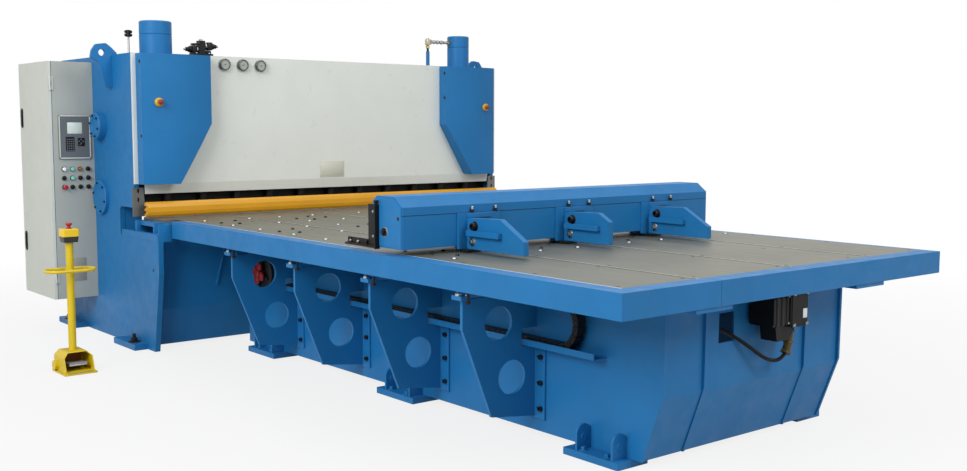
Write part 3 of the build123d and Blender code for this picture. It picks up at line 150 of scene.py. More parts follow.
def mixed(tree, share, first, second):
    """A blend of two colours."""
    blend = add(tree, "Mix", data_type="RGBA")
    for number, source in ((0, share), (6, first), (7, second)):
        feed(tree, source, blend.inputs[number])
    return blend.outputs[2]


# Relief of a surface: broken edges, and a fine pebbling of a given scale and depth
relief_group, given, out = shader_group(
    "relief",
    [("Float", "Edge", 0.002), ("Float", "Scale", 400.0), ("Float", "Depth", 0.0002)],
    [("Vector", "Normal")],
)
edge_round = add(relief_group, "Bevel", samples=4)
feed(relief_group, given["Edge"], edge_round.inputs["Radius"])
where = add(relief_group, "TexCoord").outputs["Object"]
pebble = speckle(relief_group, given["Scale"], 3.0, where, 0.2, 0.8)
pebble_bump = add(relief_group, "Bump")
feed(relief_group, arithmetic(relief_group, "MULTIPLY", pebble, given["Depth"]), pebble_bump.inputs["Height"])
pebble_bump.inputs["Distance"].default_value = 1.0
feed(relief_group, edge_round.outputs[0], pebble_bump.inputs["Normal"])
feed(relief_group, pebble_bump.outputs[0], out["Normal"])

# Settled dust: lies on what faces up, more in some places than in others
dust_group, given, out = shader_group(
    "settled_dust",
    [
        ("Color", "Surface", (0.5, 0.5, 0.5, 1)),
        ("Color", "Dust", (0.4, 0.4, 0.4, 1)),
        ("Float", "Amount", 0.2),
    ],
    [("Color", "Color"), ("Float", "Mask")],
)
facing = add(dust_group, "SeparateXYZ")
feed(dust_group, add(dust_group, "NewGeometry").outputs["Normal"], facing.inputs[0])
where = add(dust_group, "TexCoord").outputs["Object"]
lying = mapped(dust_group, facing.outputs["Z"], from_min=0.3, from_max=1.0)
patches = speckle(dust_group, 6.0, 5.0, where, 0.3, 0.75)
amount = arithmetic(dust_group, "MULTIPLY", lying, patches)
amount = arithmetic(dust_group, "MULTIPLY", amount, given["Amount"])
feed(dust_group, mixed(dust_group, amount, given["Surface"], given["Dust"]), out["Color"])
feed(dust_group, amount, out["Mask"])

# Edge wear and painted highlight: a mask that is 1 in a thin broken line along the corners. A darker colour
# on it is wear, a lighter one is a painted highlight
wear_and_highlight_group, given, out = shader_group(
    "edge_wear_and_highlight_mask",
    [("Float", "Width", 0.003), ("Float", "Amount", 0.5)],
    [("Float", "Mask")],
)
corner = add(wear_and_highlight_group, "Bevel", samples=4)
feed(wear_and_highlight_group, given["Width"], corner.inputs["Radius"])
turn = add(wear_and_highlight_group, "VectorMath", operation="DOT_PRODUCT")
feed(wear_and_highlight_group, corner.outputs[0], turn.inputs[0])
feed(wear_and_highlight_group, add(wear_and_highlight_group, "NewGeometry").outputs["Normal"], turn.inputs[1])
where = add(wear_and_highlight_group, "TexCoord").outputs["Object"]
broken = speckle(wear_and_highlight_group, 22.0, 6.0, where, 0.45, 0.62)
bent = arithmetic(wear_and_highlight_group, "SUBTRACT", 1.0, turn.outputs["Value"])
line = mapped(wear_and_highlight_group, bent, from_min=0.04, from_max=0.2)
edge_marked = arithmetic(wear_and_highlight_group, "MULTIPLY", line, broken)
feed(wear_and_highlight_group, arithmetic(wear_and_highlight_group, "MULTIPLY", edge_marked, given["Amount"]), out["Mask"])

DUST_COLOUR = shade(176, 172, 160)
EDGE_WIDTH, EDGE_MARK_WIDTH = 0.002, 0.0025


def placed(tree, group, **values):
    """A node group in a material, with its values or links."""
    made = add(tree, "Group", node_tree=group)
    for name, value in values.items():
        feed(tree, value, made.inputs[name.capitalize()])
    return made.outputs


def two_shades(colour, spread):
    """A darker and a lighter shade of a colour."""
    darker = tuple(c * (1 - spread) for c in colour[:3])
    lighter = tuple(min(1.0, c * (1 + spread)) for c in colour[:3])
    return (*darker, 1.0), (*lighter, 1.0)


def finish(name, colour, roughness, metal=0.0, coat=0.0, tone=0.06, uneven=0.08, scale=400.0,
           depth=0.0001, dust=0.12, edge_wear_and_highlight=None, shine=0.5):
    """A finished material: toned colour, dust, edge marks (worn edges, and on the blue enamel a painted
    highlight), uneven gloss and relief.
    """
    material = bpy.data.materials.new(name)
    material.use_nodes = True
    tree = material.node_tree
    surface = tree.nodes["Principled BSDF"]
    where = add(tree, "TexCoord").outputs["Object"]
    toned = mixed(tree, speckle(tree, 3.0, 6.0, where), *two_shades(colour, tone))
    if edge_wear_and_highlight:
        mask = placed(tree, wear_and_highlight_group, width=EDGE_MARK_WIDTH, amount=edge_wear_and_highlight[1])["Mask"]
        toned = mixed(tree, mask, toned, edge_wear_and_highlight[0])
    if dust:
        toned = placed(tree, dust_group, surface=toned, dust=DUST_COLOUR, amount=dust)["Color"]
    feed(tree, toned, surface.inputs["Base Color"])
    smears = speckle(tree, 11.0, 7.0, where, 0.3, 0.7)
    gloss = mapped(tree, smears, to_min=max(0.02, roughness - uneven), to_max=min(1.0, roughness + uneven))
    feed(tree, gloss, surface.inputs["Roughness"])
    relief = placed(tree, relief_group, edge=EDGE_WIDTH, scale=scale, depth=depth)
    feed(tree, relief["Normal"], surface.inputs["Normal"])
    surface.inputs["Metallic"].default_value = metal
    surface.inputs["Coat Weight"].default_value = coat
    surface.inputs["Coat Roughness"].default_value = 0.15
    surface.inputs["Specular IOR Level"].default_value = shine
    return material


def dress(material, *names):
    """Gives CAD nodes their material."""
    for name in names:
        nodes[name].data.materials.clear()
        nodes[name].data.materials.append(material)


def place(name, shape, material, body="machine", angle=35):
    """Makes a piece of a mesh that is being built, rides it on its body and smooths its curves."""
    mesh = bpy.data.meshes.new(name)
    bmesh.ops.recalc_face_normals(shape, faces=shape.faces)
    shape.to_mesh(mesh)
    shape.free()
    mesh.polygons.foreach_set("use_smooth", [True] * len(mesh.polygons))
    mesh.set_sharp_from_angle(angle=math.radians(angle))
    mesh.materials.append(material)
    piece = bpy.data.objects.new(name, mesh)
    bpy.context.scene.collection.objects.link(piece)
    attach(piece, body)
    return piece


def ring(shape, centre, across, along, radius, sides, spin=0.0):
    """A ring of points in the plane of two directions."""
    angles = [spin + 2 * math.pi * i / sides for i in range(sides)]
    return [shape.verts.new(centre + radius * (math.cos(a) * across + math.sin(a) * along)) for a in angles]


def turned(shape, start, direction, outline, sides=24, spin=0.0):
    """A turned shape: the outline is (radius, distance along the direction), from foot to top."""
    axis = Vector(direction).normalized()
    across = axis.orthogonal().normalized()
    along = axis.cross(across)
    rings = []
    for radius, distance in outline:
        centre = Vector(start) + axis * distance
        if radius == 0:
            rings.append([shape.verts.new(centre)])
        else:
            rings.append(ring(shape, centre, across, along, radius, sides, spin))
    for lower, upper in zip(rings, rings[1:]):
        for i in range(sides):
            j = (i + 1) % sides
            foot = [lower[k % len(lower)] for k in (i, j)]
            top = [upper[k % len(upper)] for k in (j, i)]
            shape.faces.new(list(dict.fromkeys(foot + top)))


conduit_line = bpy.data.curves.new("conduit_line", "CURVE")
conduit_line.dimensions = "3D"
conduit_line.resolution_u = 24
spline = conduit_line.splines.new("NURBS")
spline.points.add(len(CONDUIT_ROUTE) - 1)
for point, place_on_route in zip(spline.points, CONDUIT_ROUTE):
    point.co = (*(MOTOR + Vector(place_on_route)), 1.0)
spline.order_u = 3
spline.use_endpoint_u = True
line_object = bpy.data.objects.new("conduit_line", conduit_line)
bpy.context.scene.collection.objects.link(line_object)
bpy.context.view_layer.update()
line_mesh = bpy.data.meshes.new_from_object(line_object)
conduit_path = [v.co.copy() for v in line_mesh.vertices]
bpy.data.objects.remove(line_object)
bpy.data.meshes.remove(line_mesh)


def spread_along(path, pitch):
    """Points at an even pitch along a path, with the direction at each."""
    stations = []
    rest = 0.0
    for a, b in zip(path, path[1:]):
        run = (b - a).length
        while rest <= run:
            stations.append((a.lerp(b, rest / run), (b - a).normalized()))
            rest += pitch
        rest -= run
    return stations


def ribbed_hose(shape, path, radius, pitch, depth, sides=20):
    """A corrugated tube along a path: each rib is a rounded ring, each groove a narrow neck."""
    groove = (1.0, 0.25, 0.0, 0.25)
    stations = spread_along(path, pitch / len(groove))
    across = stations[0][1].orthogonal().normalized()
    rings = []
    for index, (centre, direction) in enumerate(stations):
        across = (across - direction * across.dot(direction)).normalized()
        beside = direction.cross(across)
        neck = radius - depth * groove[index % len(groove)]
        rings.append(ring(shape, centre, across, beside, neck, sides))
    for lower, upper in zip(rings, rings[1:]):
        for i in range(sides):
            j = (i + 1) % sides
            shape.faces.new([lower[i], lower[j], upper[j], upper[i]])
    shape.faces.new(rings[0])
    shape.faces.new(rings[-1])


olive_plastic = finish("olive_elbow", shade(84, 76, 44), 0.42, dust=0.06, tone=0.25, shine=0.3)
hose_black = finish("hose_black", shade(16, 16, 16), 0.45, dust=0.04, tone=0.15, shine=0.2)
hose = bmesh.new()
ribbed_hose(hose, conduit_path, CONDUIT_R, CONDUIT_PITCH, CONDUIT_RIB)
conduit = place("conduit_hose", hose, hose_black, angle=60)
elbow_path = [point for point, _ in spread_along(conduit_path, ELBOW_STEP)][:int(ELBOW_LENGTH / ELBOW_STEP)]
elbow = bmesh.new()
ribbed_hose(elbow, elbow_path, ELBOW_R, ELBOW_PITCH, ELBOW_RIB, sides=28)
for k in ELBOW_NUTS:
    spot, onward = elbow_path[k], (elbow_path[k + 1] - elbow_path[k]).normalized()
    turned(elbow, spot - onward * 0.002, onward,
           [(0.018, 0), (0.0305, 0.001), (0.0305, 0.013), (0.018, 0.014)], sides=6)
conduit_elbow = place("conduit_elbow", elbow, olive_plastic, angle=60)
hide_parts("motor_cable")

# Side frames: flame-cut plates 40 mm thick, welded to floor pads and shelves, and sprayed
# with smooth blue machine enamel. M30 anchors hold the pads to the floor, and six socket
# screws hold each round cover.
fascia_low, fascia_high = corners_of("front_fascia")
FASCIA_Y, HALF = fascia_low[1], fascia_high[0]
PAD_TOP = 0.045
UP = (0, 0, 1)
# The round covers: how far out of the frame, behind the fascia and up, and their rings of screws
ROUND_COVERS = ((0.065, 0.637, 1.703, 0.085), (0.030, 0.665, 1.127, 0.118))
# The blue enamel's edges are marked a lighter blue: a painted highlight along the corners.
blue_enamel = finish("blue_enamel", shade(26, 111, 170), 0.50, coat=0.02, tone=0.04, depth=0.00006,
                     scale=260.0, dust=0.02, edge_wear_and_highlight=(shade(96, 150, 196), 0.3), shine=0.3)
black_oxide = finish("black_oxide", shade(28, 28, 30), 0.42, metal=0.3, tone=0.2, dust=0.08, shine=0.25)
dress(blue_enamel, "left_side_frame", "right_side_frame", "side_discs")


def hex_bolt(shape, seat, direction, across, shank=0.0, spin=0.3):
    """A hexagon head or nut with a washer under it, and a threaded end above if it is a stud."""
    corner = across / 2 / math.cos(math.pi / 6)
    washer = across * 0.14
    top = washer + across * 0.62
    turned(shape, seat, direction,
           [(0, 0), (across, 0), (across, washer * 0.8), (across * 0.95, washer), (0, washer)])
    turned(shape, seat, direction,
           [(0, washer), (corner, washer), (corner, top - across * 0.05), (corner * 0.9, top), (0, top)],
           sides=6, spin=spin)
    if shank:
        r = across * 0.31
        end = top + shank
        turned(shape, seat, direction, [(0, top), (r, top), (r, top + shank * 0.9), (r * 0.8, end), (0, end)])


def socket_screw(shape, seat, direction, radius, height=None):
    """A socket cap screw with its hexagon recess."""
    h = height or radius * 1.2
    s = radius * 0.55
    turned(shape, seat, direction, [(radius, 0), (radius, h * 0.88), (radius * 0.9, h), (s, h)], sides=20)
    turned(shape, seat, direction, [(s, h), (s, h * 0.45), (0, h * 0.45)], sides=6)


def button(shape, seat, direction, radius, height, lip, sides=24):
    """A low round head: straight sides that draw in by a lip, and a flat top."""
    turned(shape, seat, direction, [(radius, 0), (radius - lip, height), (0, height)], sides)


def new_shapes(count):
    """Empty meshes to build pieces in."""
    return [bmesh.new() for _ in range(count)]


anchors, cover_screws, side_hole_shades = new_shapes(3)
for side in (-1, 1):
    for end in (-1, 1):
        hex_bolt(anchors, (side * (HALF + 0.055), end * 0.7, PAD_TOP), UP, 0.046, shank=0.03, spin=side + end)
    for k in range(6):
        a = math.radians(60 * k + 15)
        for proud, behind, height, reach in ROUND_COVERS:
            y, z = FASCIA_Y + behind + reach * math.cos(a), height + reach * math.sin(a)
            socket_screw(cover_screws, (side * (HALF + proud), y, z), (side, 0, 0), 0.0085)
    # A flat black disc, 0.8 mm proud, on each side frame stands for a hole: painted shade.
    hole = (side * (HALF + 0.0001), FASCIA_Y - 0.310, 0.623)
    button(side_hole_shades, hole, (side, 0, 0), 0.013, 0.0008, 0.001, sides=20)
place("anchor_nuts", anchors, black_oxide)
place("round_cover_screws", cover_screws, black_oxide)
place("side_hole_shades", side_hole_shades, black_oxide)

# Bed: the front web is one bent plate with ground table plates screwed on top. The blades
# are ground tool steel, held by a row of countersunk screws.
dress(blue_enamel, "bed", "top_plate", "rear_tie_beams")


def streaked(name, colour, roughness, along, dust, metal=1.0):
    """Ground steel plate: fine streaks along the grinding, oil stains and a film of dust."""
    material = bpy.data.materials.new(name)
    material.use_nodes = True
    tree = material.node_tree
    surface = tree.nodes["Principled BSDF"]
    where = add(tree, "TexCoord").outputs["Object"]
    stretch = add(tree, "Mapping")
    stretch.inputs["Scale"].default_value = along
    feed(tree, where, stretch.inputs["Vector"])
    fine = speckle(tree, 90.0, 6.0, stretch.outputs[0], 0.3, 0.7)
    broad = speckle(tree, 14.0, 5.0, stretch.outputs[0], 0.3, 0.7)
    oil = speckle(tree, 2.2, 8.0, where, 0.42, 0.66)
    fine, broad = arithmetic(tree, "MULTIPLY", fine, 0.6), arithmetic(tree, "MULTIPLY", broad, 0.4)
    lines = arithmetic(tree, "ADD", fine, broad)
    ground = mixed(tree, lines, *two_shades(colour, 0.18))
    stained = (*(c * k for c, k in zip(colour, (0.62, 0.60, 0.55))), 1.0)
    oiled = mixed(tree, arithmetic(tree, "MULTIPLY", oil, 0.25), ground, stained)
    dusty = placed(tree, dust_group, surface=oiled, dust=DUST_COLOUR, amount=dust)["Color"]
    feed(tree, dusty, surface.inputs["Base Color"])
    gloss = mapped(tree, lines, to_min=roughness - 0.08, to_max=roughness + 0.12)
    feed(tree, gloss, surface.inputs["Roughness"])
    bump = add(tree, "Bump")
    bump.inputs["Strength"].default_value = 0.15
    bump.inputs["Distance"].default_value = 0.0004
    feed(tree, lines, bump.inputs["Height"])
    relief = placed(tree, relief_group, edge=0.0015, scale=500.0, depth=0.00003)
    feed(tree, relief["Normal"], bump.inputs["Normal"])
    feed(tree, bump.outputs[0], surface.inputs["Normal"])
    surface.inputs["Metallic"].default_value = metal
    return material


def sunk_screw(shape, seat, radius, recess):
    """A countersunk screw, flush with its plate, with a hexagon recess."""
    turned(shape, seat, UP, [(radius, 0), (radius - 0.0005, 0.0006), (recess, 0.0006)], sides=20)
    turned(shape, seat, UP, [(recess, 0.0006), (recess - 0.0005, 0.0001), (0, 0.0001)], sides=6)


BED_TOP = corners_of("bed_plates")[1][2]
ground_plate = streaked("ground_table_plate", shade(118, 118, 107), 0.44, (1.0, 0.06, 1.0), dust=0.05,
                        metal=0.75)
blade_ground = streaked("ground_blade_steel", shade(178, 178, 176), 0.26, (0.05, 1.0, 1.0), dust=0.03)
dress(ground_plate, "bed_plates")
dress(blade_ground, "lower_blade", "upper_blade")
bed_screws = bmesh.new()
for k in range(6):
    for y in (FASCIA_Y + 0.02, FASCIA_Y - 0.20):
        for side in (-1, 1):
            sunk_screw(bed_screws, (side * (0.14 + 0.29 * k), y, BED_TOP + 0.0001), 0.0105, 0.0055)
place("bed_plate_screws", bed_screws, black_oxide)

# Fascia: off-white enamelled sheet with a bent lower lip, screwed on from behind.
# A bare cream plate is riveted on it.
white_enamel = finish("white_enamel", shade(221, 225, 219), 0.34, coat=0.2, tone=0.02, depth=0.00004,
                      scale=220.0, dust=0.05)
plate_cream = finish("plate_cream", shade(202, 203, 188), 0.5, tone=0.03, dust=0.02)
zinc = finish("zinc_plated", shade(176, 176, 170), 0.32, metal=1.0, tone=0.12, dust=0.1)
PLATE_X, PLATE_Z, PLATE_EDGE = (-0.152, 0.090), (1.268, 1.406), 0.014
FRONT = (0, -1, 0)
dress(white_enamel, "front_fascia")


def boxed(shape, low, high, bevel=0.0, segments=2):
    """A box between two corners with its edges broken."""
    low, high = Vector(low), Vector(high)
    made = bmesh.ops.create_cube(shape, size=1.0)["verts"]
    for v in made:
        v.co = Vector(low[i] + (v.co[i] + 0.5) * (high[i] - low[i]) for i in range(3))
    if bevel:
        edges = list(dict.fromkeys(e for v in made for e in v.link_edges))
        bmesh.ops.bevel(shape, geom=edges, offset=bevel, segments=segments, affect="EDGES", profile=0.5)


bare_plate, rivets = new_shapes(2)
for inset, back, proud, bevel in ((0.0, 0.0001, 0.0022, 0.0006), (PLATE_EDGE, 0.0021, 0.0032, 0.0004)):
    boxed(bare_plate, (PLATE_X[0] + inset, FASCIA_Y - proud, PLATE_Z[0] + inset),
          (PLATE_X[1] - inset, FASCIA_Y - back, PLATE_Z[1] - inset), bevel)
place("bare_plate", bare_plate, plate_cream)
for x in (PLATE_X[0] + PLATE_EDGE / 2, PLATE_X[1] - PLATE_EDGE / 2):
    for z in (PLATE_Z[0] + PLATE_EDGE / 2, PLATE_Z[1] - PLATE_EDGE / 2):
        turned(rivets, (x, FASCIA_Y - 0.002, z), FRONT,
               [(0.0034, 0), (0.0030, 0.0012), (0.0016, 0.0019), (0, 0.0021)], sides=14)
place("plate_rivets", rivets, zinc)

# Dial gauges: a chromed case with a black rim, a pale dial with plain scale marks and a black
# hand. They sit in a row in the fascia.
GAUGE_Z = 2.196
GAUGES_X = (-1.034, -0.874, -0.714)
DIAL_R, MARKS_R, RIM_R = 0.0375, 0.034, 0.0405
# The chrome is much darker than bright chrome: a painted dark reflection on the gauge cases and piston rods.
chrome_painted_dark = finish("chromed_painted_dark", shade(112, 114, 112), 0.18, metal=1.0, tone=0.03, uneven=0.03, dust=0.0)
dial_grey = finish("dial_grey", shade(168, 172, 164), 0.4, dust=0.0, tone=0.05)
ink = finish("black_ink", shade(18, 18, 20), 0.6, dust=0.0)
dress(chrome_painted_dark, "pressure_gauges")


def dial_ways(degrees):
    """The direction in which a hand points at an angle, and the one across it."""
    a = math.radians(degrees)
    return Vector((math.cos(a), 0, math.sin(a))), Vector((-math.sin(a), 0, math.cos(a)))


dials, marks, hands, rims = new_shapes(4)
for number, x in enumerate(GAUGES_X):
    turned(dials, (x, FASCIA_Y - 0.0268, GAUGE_Z), FRONT,
           [(DIAL_R, 0), (DIAL_R, 0.0006), (0, 0.0006)], sides=40)
    for k in range(31):
        flat, across = dial_ways(225 - 9 * k)
        length, wide = (0.008, across * 0.0009) if k % 5 == 0 else (0.0045, across * 0.0005)
        base = Vector((x, FASCIA_Y - 0.0276, GAUGE_Z))
        foot = MARKS_R - length
        edges = ((MARKS_R, wide), (MARKS_R, -wide), (foot, -wide), (foot, wide))
        corners = [base + flat * r + w for r, w in edges]
        marks.faces.new([marks.verts.new(c) for c in corners])
    flat, wide = dial_ways(205 - 12 * number)
    base = Vector((x, FASCIA_Y - 0.0290, GAUGE_Z))
    corners = [base - flat * 0.009 + wide * 0.0016, base + flat * 0.029, base - flat * 0.009 - wide * 0.0016]
    hands.faces.new([hands.verts.new(c) for c in corners])
    turned(hands, (x, FASCIA_Y - 0.0275, GAUGE_Z), FRONT, [(0.004, 0), (0.004, 0.002), (0, 0.0026)], sides=16)
    turned(rims, (x, FASCIA_Y - 0.0270, GAUGE_Z), FRONT,
           [(RIM_R, 0), (RIM_R, 0.0012), (RIM_R - 0.0045, 0.0012), (RIM_R - 0.0045, 0)], sides=40)
place("gauge_rims", rims, ink)
place("gauge_dials", dials, dial_grey)
place("gauge_marks", marks, ink)
place("gauge_hands", hands, ink)

# Cylinder covers: thin blue sheet boxes with a bulged front, screwed to the fascia through
# their returns. Each carries an emergency stop: a yellow collar with a red mushroom head.
dress(blue_enamel, "left_cylinder_cover", "right_cylinder_cover")


def two_tone(name, near, far, axis, level, roughness):
    """A moulded plastic whose colour changes at one level along an axis."""
    material = finish(name, near, roughness, tone=0.03, dust=0.05, scale=800.0)
    tree = material.node_tree
    surface = tree.nodes["Principled BSDF"]
    before = surface.inputs["Base Color"].links[0].from_socket
    parts = add(tree, "SeparateXYZ")
    feed(tree, add(tree, "TexCoord").outputs["Object"], parts.inputs[0])
    past = arithmetic(tree, "GREATER_THAN", parts.outputs[axis], level)
    feed(tree, mixed(tree, past, far, before), surface.inputs["Base Color"])
    return material


STOP_SEAM = FASCIA_Y - 0.149
stop_plastic = two_tone("stop_yellow_and_red", shade(206, 160, 36), shade(128, 28, 18), "Y", STOP_SEAM, 0.35)
dress(stop_plastic, "emergency_stops")
cover_fixings = bmesh.new()
for side, cover in ((-1, "left_cylinder_cover"), (1, "right_cylinder_cover")):
    inner, outer = sorted((corner[0] for corner in corners_of(cover)), key=abs)
    for x, way, heights in ((outer, side, (2.193, 1.629)), (inner, -side, (2.193, 1.968))):
        for z in heights:
            turned(cover_fixings, (x, FASCIA_Y - 0.078, z), (way, 0, 0),
                   [(0.013, 0), (0.012, 0.003), (0.006, 0.0045), (0, 0.0045)], sides=16)
place("cover_fixings", cover_fixings, black_oxide)

# Front beam and hold-downs: a black painted beam carries eleven oil-pressed plungers, each
# with a rod and a pad of blackened steel.
black_paint = finish("black_paint", shade(20, 20, 22), 0.5, tone=0.15, dust=0.05, shine=0.2)
dress(black_paint, "front_beam")
dress(black_oxide, "hold_down_pads")

# Ram and guides: the ram is a ribbed blue plate on two hard-chromed rods, with the upper blade
# screwed to its lower edge. It slides in black steel guides.
dress(blue_enamel, "ram")
dress(black_paint, "ram_guides")
dress(chrome_painted_dark, "piston_rods")

# Cylinders: turned steel barrels of two bores, painted blue, with a seam below the head. They
# stand on the top plate over the ends of the ram.
CYLINDER_Y, BARREL_WALL_X = FASCIA_Y + 0.205, 1.412
PLATE_TOP = corners_of("top_plate")[1][2]
dress(blue_enamel, "cylinders")

# Hydraulic fittings: a black solenoid valve between bright plugs, a painted riser with a
# bright pipe and brass nuts to the right cylinder, and a position sensor on a bright rod.
brass = finish("brass", shade(190, 158, 88), 0.28, metal=1.0, tone=0.1, dust=0.05)
black_plastic = finish("black_plastic", shade(22, 22, 24), 0.42, tone=0.12, dust=0.06, scale=900.0,
                       depth=0.00008, shine=0.22)
VALVE_X, VALVE_Y = -1.100, FASCIA_Y + 0.260
SPOOL_X, SOLENOIDS = VALVE_X - 0.006, ((-1, 0.068), (1, 0.098))
PIPE_X, PIPE_Z, PIPE_R = 1.155, PLATE_TOP + 0.240, 0.0128
SENSOR_X, SENSOR_Y = -1.668, FASCIA_Y + 0.370
RIGHT = (1, 0, 0)
dress(black_plastic, "hydraulic_fittings")
riser, pipe, nuts, fittings = new_shapes(4)
turned(riser, (PIPE_X, CYLINDER_Y, PLATE_TOP), UP,
       [(0.024, 0), (0.024, 0.012), (0.017, 0.014), (0.017, 0.150), (0.0115, 0.152)])
boxed(pipe, (PIPE_X - 0.0215, CYLINDER_Y - 0.0185, PIPE_Z - 0.0315),
      (PIPE_X + 0.0215, CYLINDER_Y + 0.0185, PIPE_Z + 0.0215), 0.004)
turned(pipe, (PIPE_X + 0.020, CYLINDER_Y, PIPE_Z), RIGHT,
       [(PIPE_R, 0), (PIPE_R, BARREL_WALL_X - PIPE_X - 0.021)])
for x in (PIPE_X + 0.023, BARREL_WALL_X - 0.030):
    turned(nuts, (x, CYLINDER_Y, PIPE_Z), RIGHT,
           [(0.013, 0), (0.021, 0.001), (0.021, 0.020), (0.014, 0.025), (0.014, 0.029)], sides=6)
turned(nuts, (PIPE_X, CYLINDER_Y, PIPE_Z - 0.062), UP,
       [(0.012, 0), (0.020, 0.001), (0.020, 0.022), (0.014, 0.027), (0.014, 0.030)], sides=6)
turned(nuts, (PIPE_X, CYLINDER_Y, PIPE_Z + 0.0215), UP, [(0.014, 0), (0.014, 0.010), (0, 0.011)], sides=18)
for x in (PIPE_X + 0.062, PIPE_X + 0.104, PIPE_X + 0.150):
    turned(pipe, (x, CYLINDER_Y, PIPE_Z), RIGHT,
           [(0.0129, 0), (0.0195, 0.001), (0.0195, 0.017), (0.0129, 0.018)], sides=6)
    turned(fittings, (x + 0.020, CYLINDER_Y, PIPE_Z), RIGHT,
           [(0.0129, 0), (0.0150, 0.001), (0.0150, 0.007), (0.0129, 0.008)], sides=18)
for way, height in SOLENOIDS:
    z = PLATE_TOP + height
    turned(pipe, (SPOOL_X + way * 0.138, VALVE_Y, z), (way, 0, 0),
           [(0.009, 0), (0.009, 0.010), (0.005, 0.013), (0, 0.013)], sides=14)
    turned(pipe, (SPOOL_X + way * 0.034, VALVE_Y, z), (way, 0, 0),
           [(0.0245, 0), (0.0255, 0.001), (0.0255, 0.008), (0.0245, 0.009)])
    near, far = sorted((SPOOL_X + way * 0.046, SPOOL_X + way * 0.088))
    boxed(fittings, (near, VALVE_Y - 0.034, z - 0.032), (far, VALVE_Y + 0.034, z + 0.032), 0.006)
turned(pipe, (SPOOL_X, VALVE_Y, PLATE_TOP + 0.1401), UP,
       [(0.016, 0), (0.016, 0.012), (0.011, 0.014), (0, 0.014)], sides=6)
for x in (-0.060, 0.050):
    for y in (-0.034, 0.034):
        socket_screw(pipe, (VALVE_X + x, VALVE_Y + y, PLATE_TOP + 0.0361), UP, 0.006)
for x, width, foot, height in ((0.030, 0.040, 0.037, 0.025), (-0.084, 0.044, 0.104, 0.014)):
    boxed(fittings, (VALVE_X + x, VALVE_Y - 0.030, PLATE_TOP + foot),
          (VALVE_X + x + width, VALVE_Y + 0.030, PLATE_TOP + foot + height), 0.004)
turned(pipe, (SENSOR_X, SENSOR_Y, PLATE_TOP), UP, [(0.0078, 0), (0.0078, 0.149)], sides=16)
for height in (0.164, 0.190):
    turned(fittings, (SENSOR_X - 0.030, SENSOR_Y, PLATE_TOP + height), RIGHT,
           [(0, 0), (0.008, 0), (0.011, 0.003), (0.011, 0.057), (0.008, 0.060), (0, 0.060)], sides=16)
place("black_fittings", fittings, black_plastic)
place("pipe_riser", riser, blue_enamel)
place("pipe_and_plugs", pipe, zinc)
place("brass_nuts", nuts, brass)

# Lifting lugs: thick plates, flame-cut with a round eye for the shackle and painted with the
# frame. They are welded over the top edges of the side frames.
dress(blue_enamel, "lifting_lugs")

# Finger guard: a yellow bar in front of the blades, on two grey steel brackets with long
# holes, each held by two socket screws on small washer plates.
guard_enamel = finish("guard_yellow", shade(216, 154, 14), 0.36, coat=0.12, tone=0.04, dust=0.02,
                      edge_wear_and_highlight=(shade(120, 96, 60), 0.4))
grey_steel = finish("plain_steel", shade(112, 114, 112), 0.48, metal=0.7, tone=0.12, dust=0.12)
dress(guard_enamel, "finger_guard")
dress(grey_steel, "guard_brackets")
WASHER_Y = FASCIA_Y + 0.0165
guard_screws = bmesh.new()
for side in (-1, 1):
    for z in (1.136, 1.206):
        x = side * (HALF - 0.029)
        boxed(guard_screws, (x - 0.0075, WASHER_Y, z - 0.0165), (x + 0.0075, WASHER_Y + 0.003, z + 0.0165),
              0.001)
        socket_screw(guard_screws, (x, WASHER_Y, z), FRONT, 0.007, 0.006)
place("guard_screws", guard_screws, black_oxide)

# Table rails: folded blue channels round the deck, welded at the corners. The front rail is
# in two lengths that meet in a narrow joint.
rail_low, rail_high = corners_of("left_rail")
TABLE_X0, TABLE_X1 = rail_low[0], corners_of("right_rail")[1][0]
TABLE_Y0, TABLE_Y1 = rail_low[1], rail_high[1]
MID_X = (TABLE_X0 + TABLE_X1) / 2
dress(blue_enamel, "left_rail", "right_rail", "front_rail")

# Deck: ground steel plates between three long slots. The rear plates carry small rollers in
# slanted pockets, set lower in the lanes of the arms' feet, and balls in steel cups.
DECK = corners_of("front_deck")[1][2]
DECK_Y1 = -0.910
GROUPS_Y = (-1.440, -2.300, -3.160, -4.020)
# Each strip of the rear deck: the middle of its groups of pockets, and the lines of its balls
STRIPS = (
    (-1.341, (-1.491, -1.120)),
    (-0.710, (-0.860, -0.560)),
    (0.030, (-0.120, 0.180)),
    (0.670, (0.520, 0.820)),
)
FOOT_LANE = (-1.26, -1.15)
SLANT = math.radians(35)
AXLE = Vector((-math.sin(SLANT), math.cos(SLANT), 0))
SLOTS_X = (MID_X - 0.7115, MID_X + 0.0285, MID_X + 0.7685)
SCREWS_X = (-1.560, -1.120, -1.040, -0.380, -0.300, 0.262, 0.440, 0.900)
BALL_R = 0.0120
DOME = [(BALL_R * math.cos(t), BALL_R * math.sin(t)) for t in (0.0, 0.35, 0.7, 1.05, 1.35)] + [(0, BALL_R)]
DOWN = (0, 0, -1)
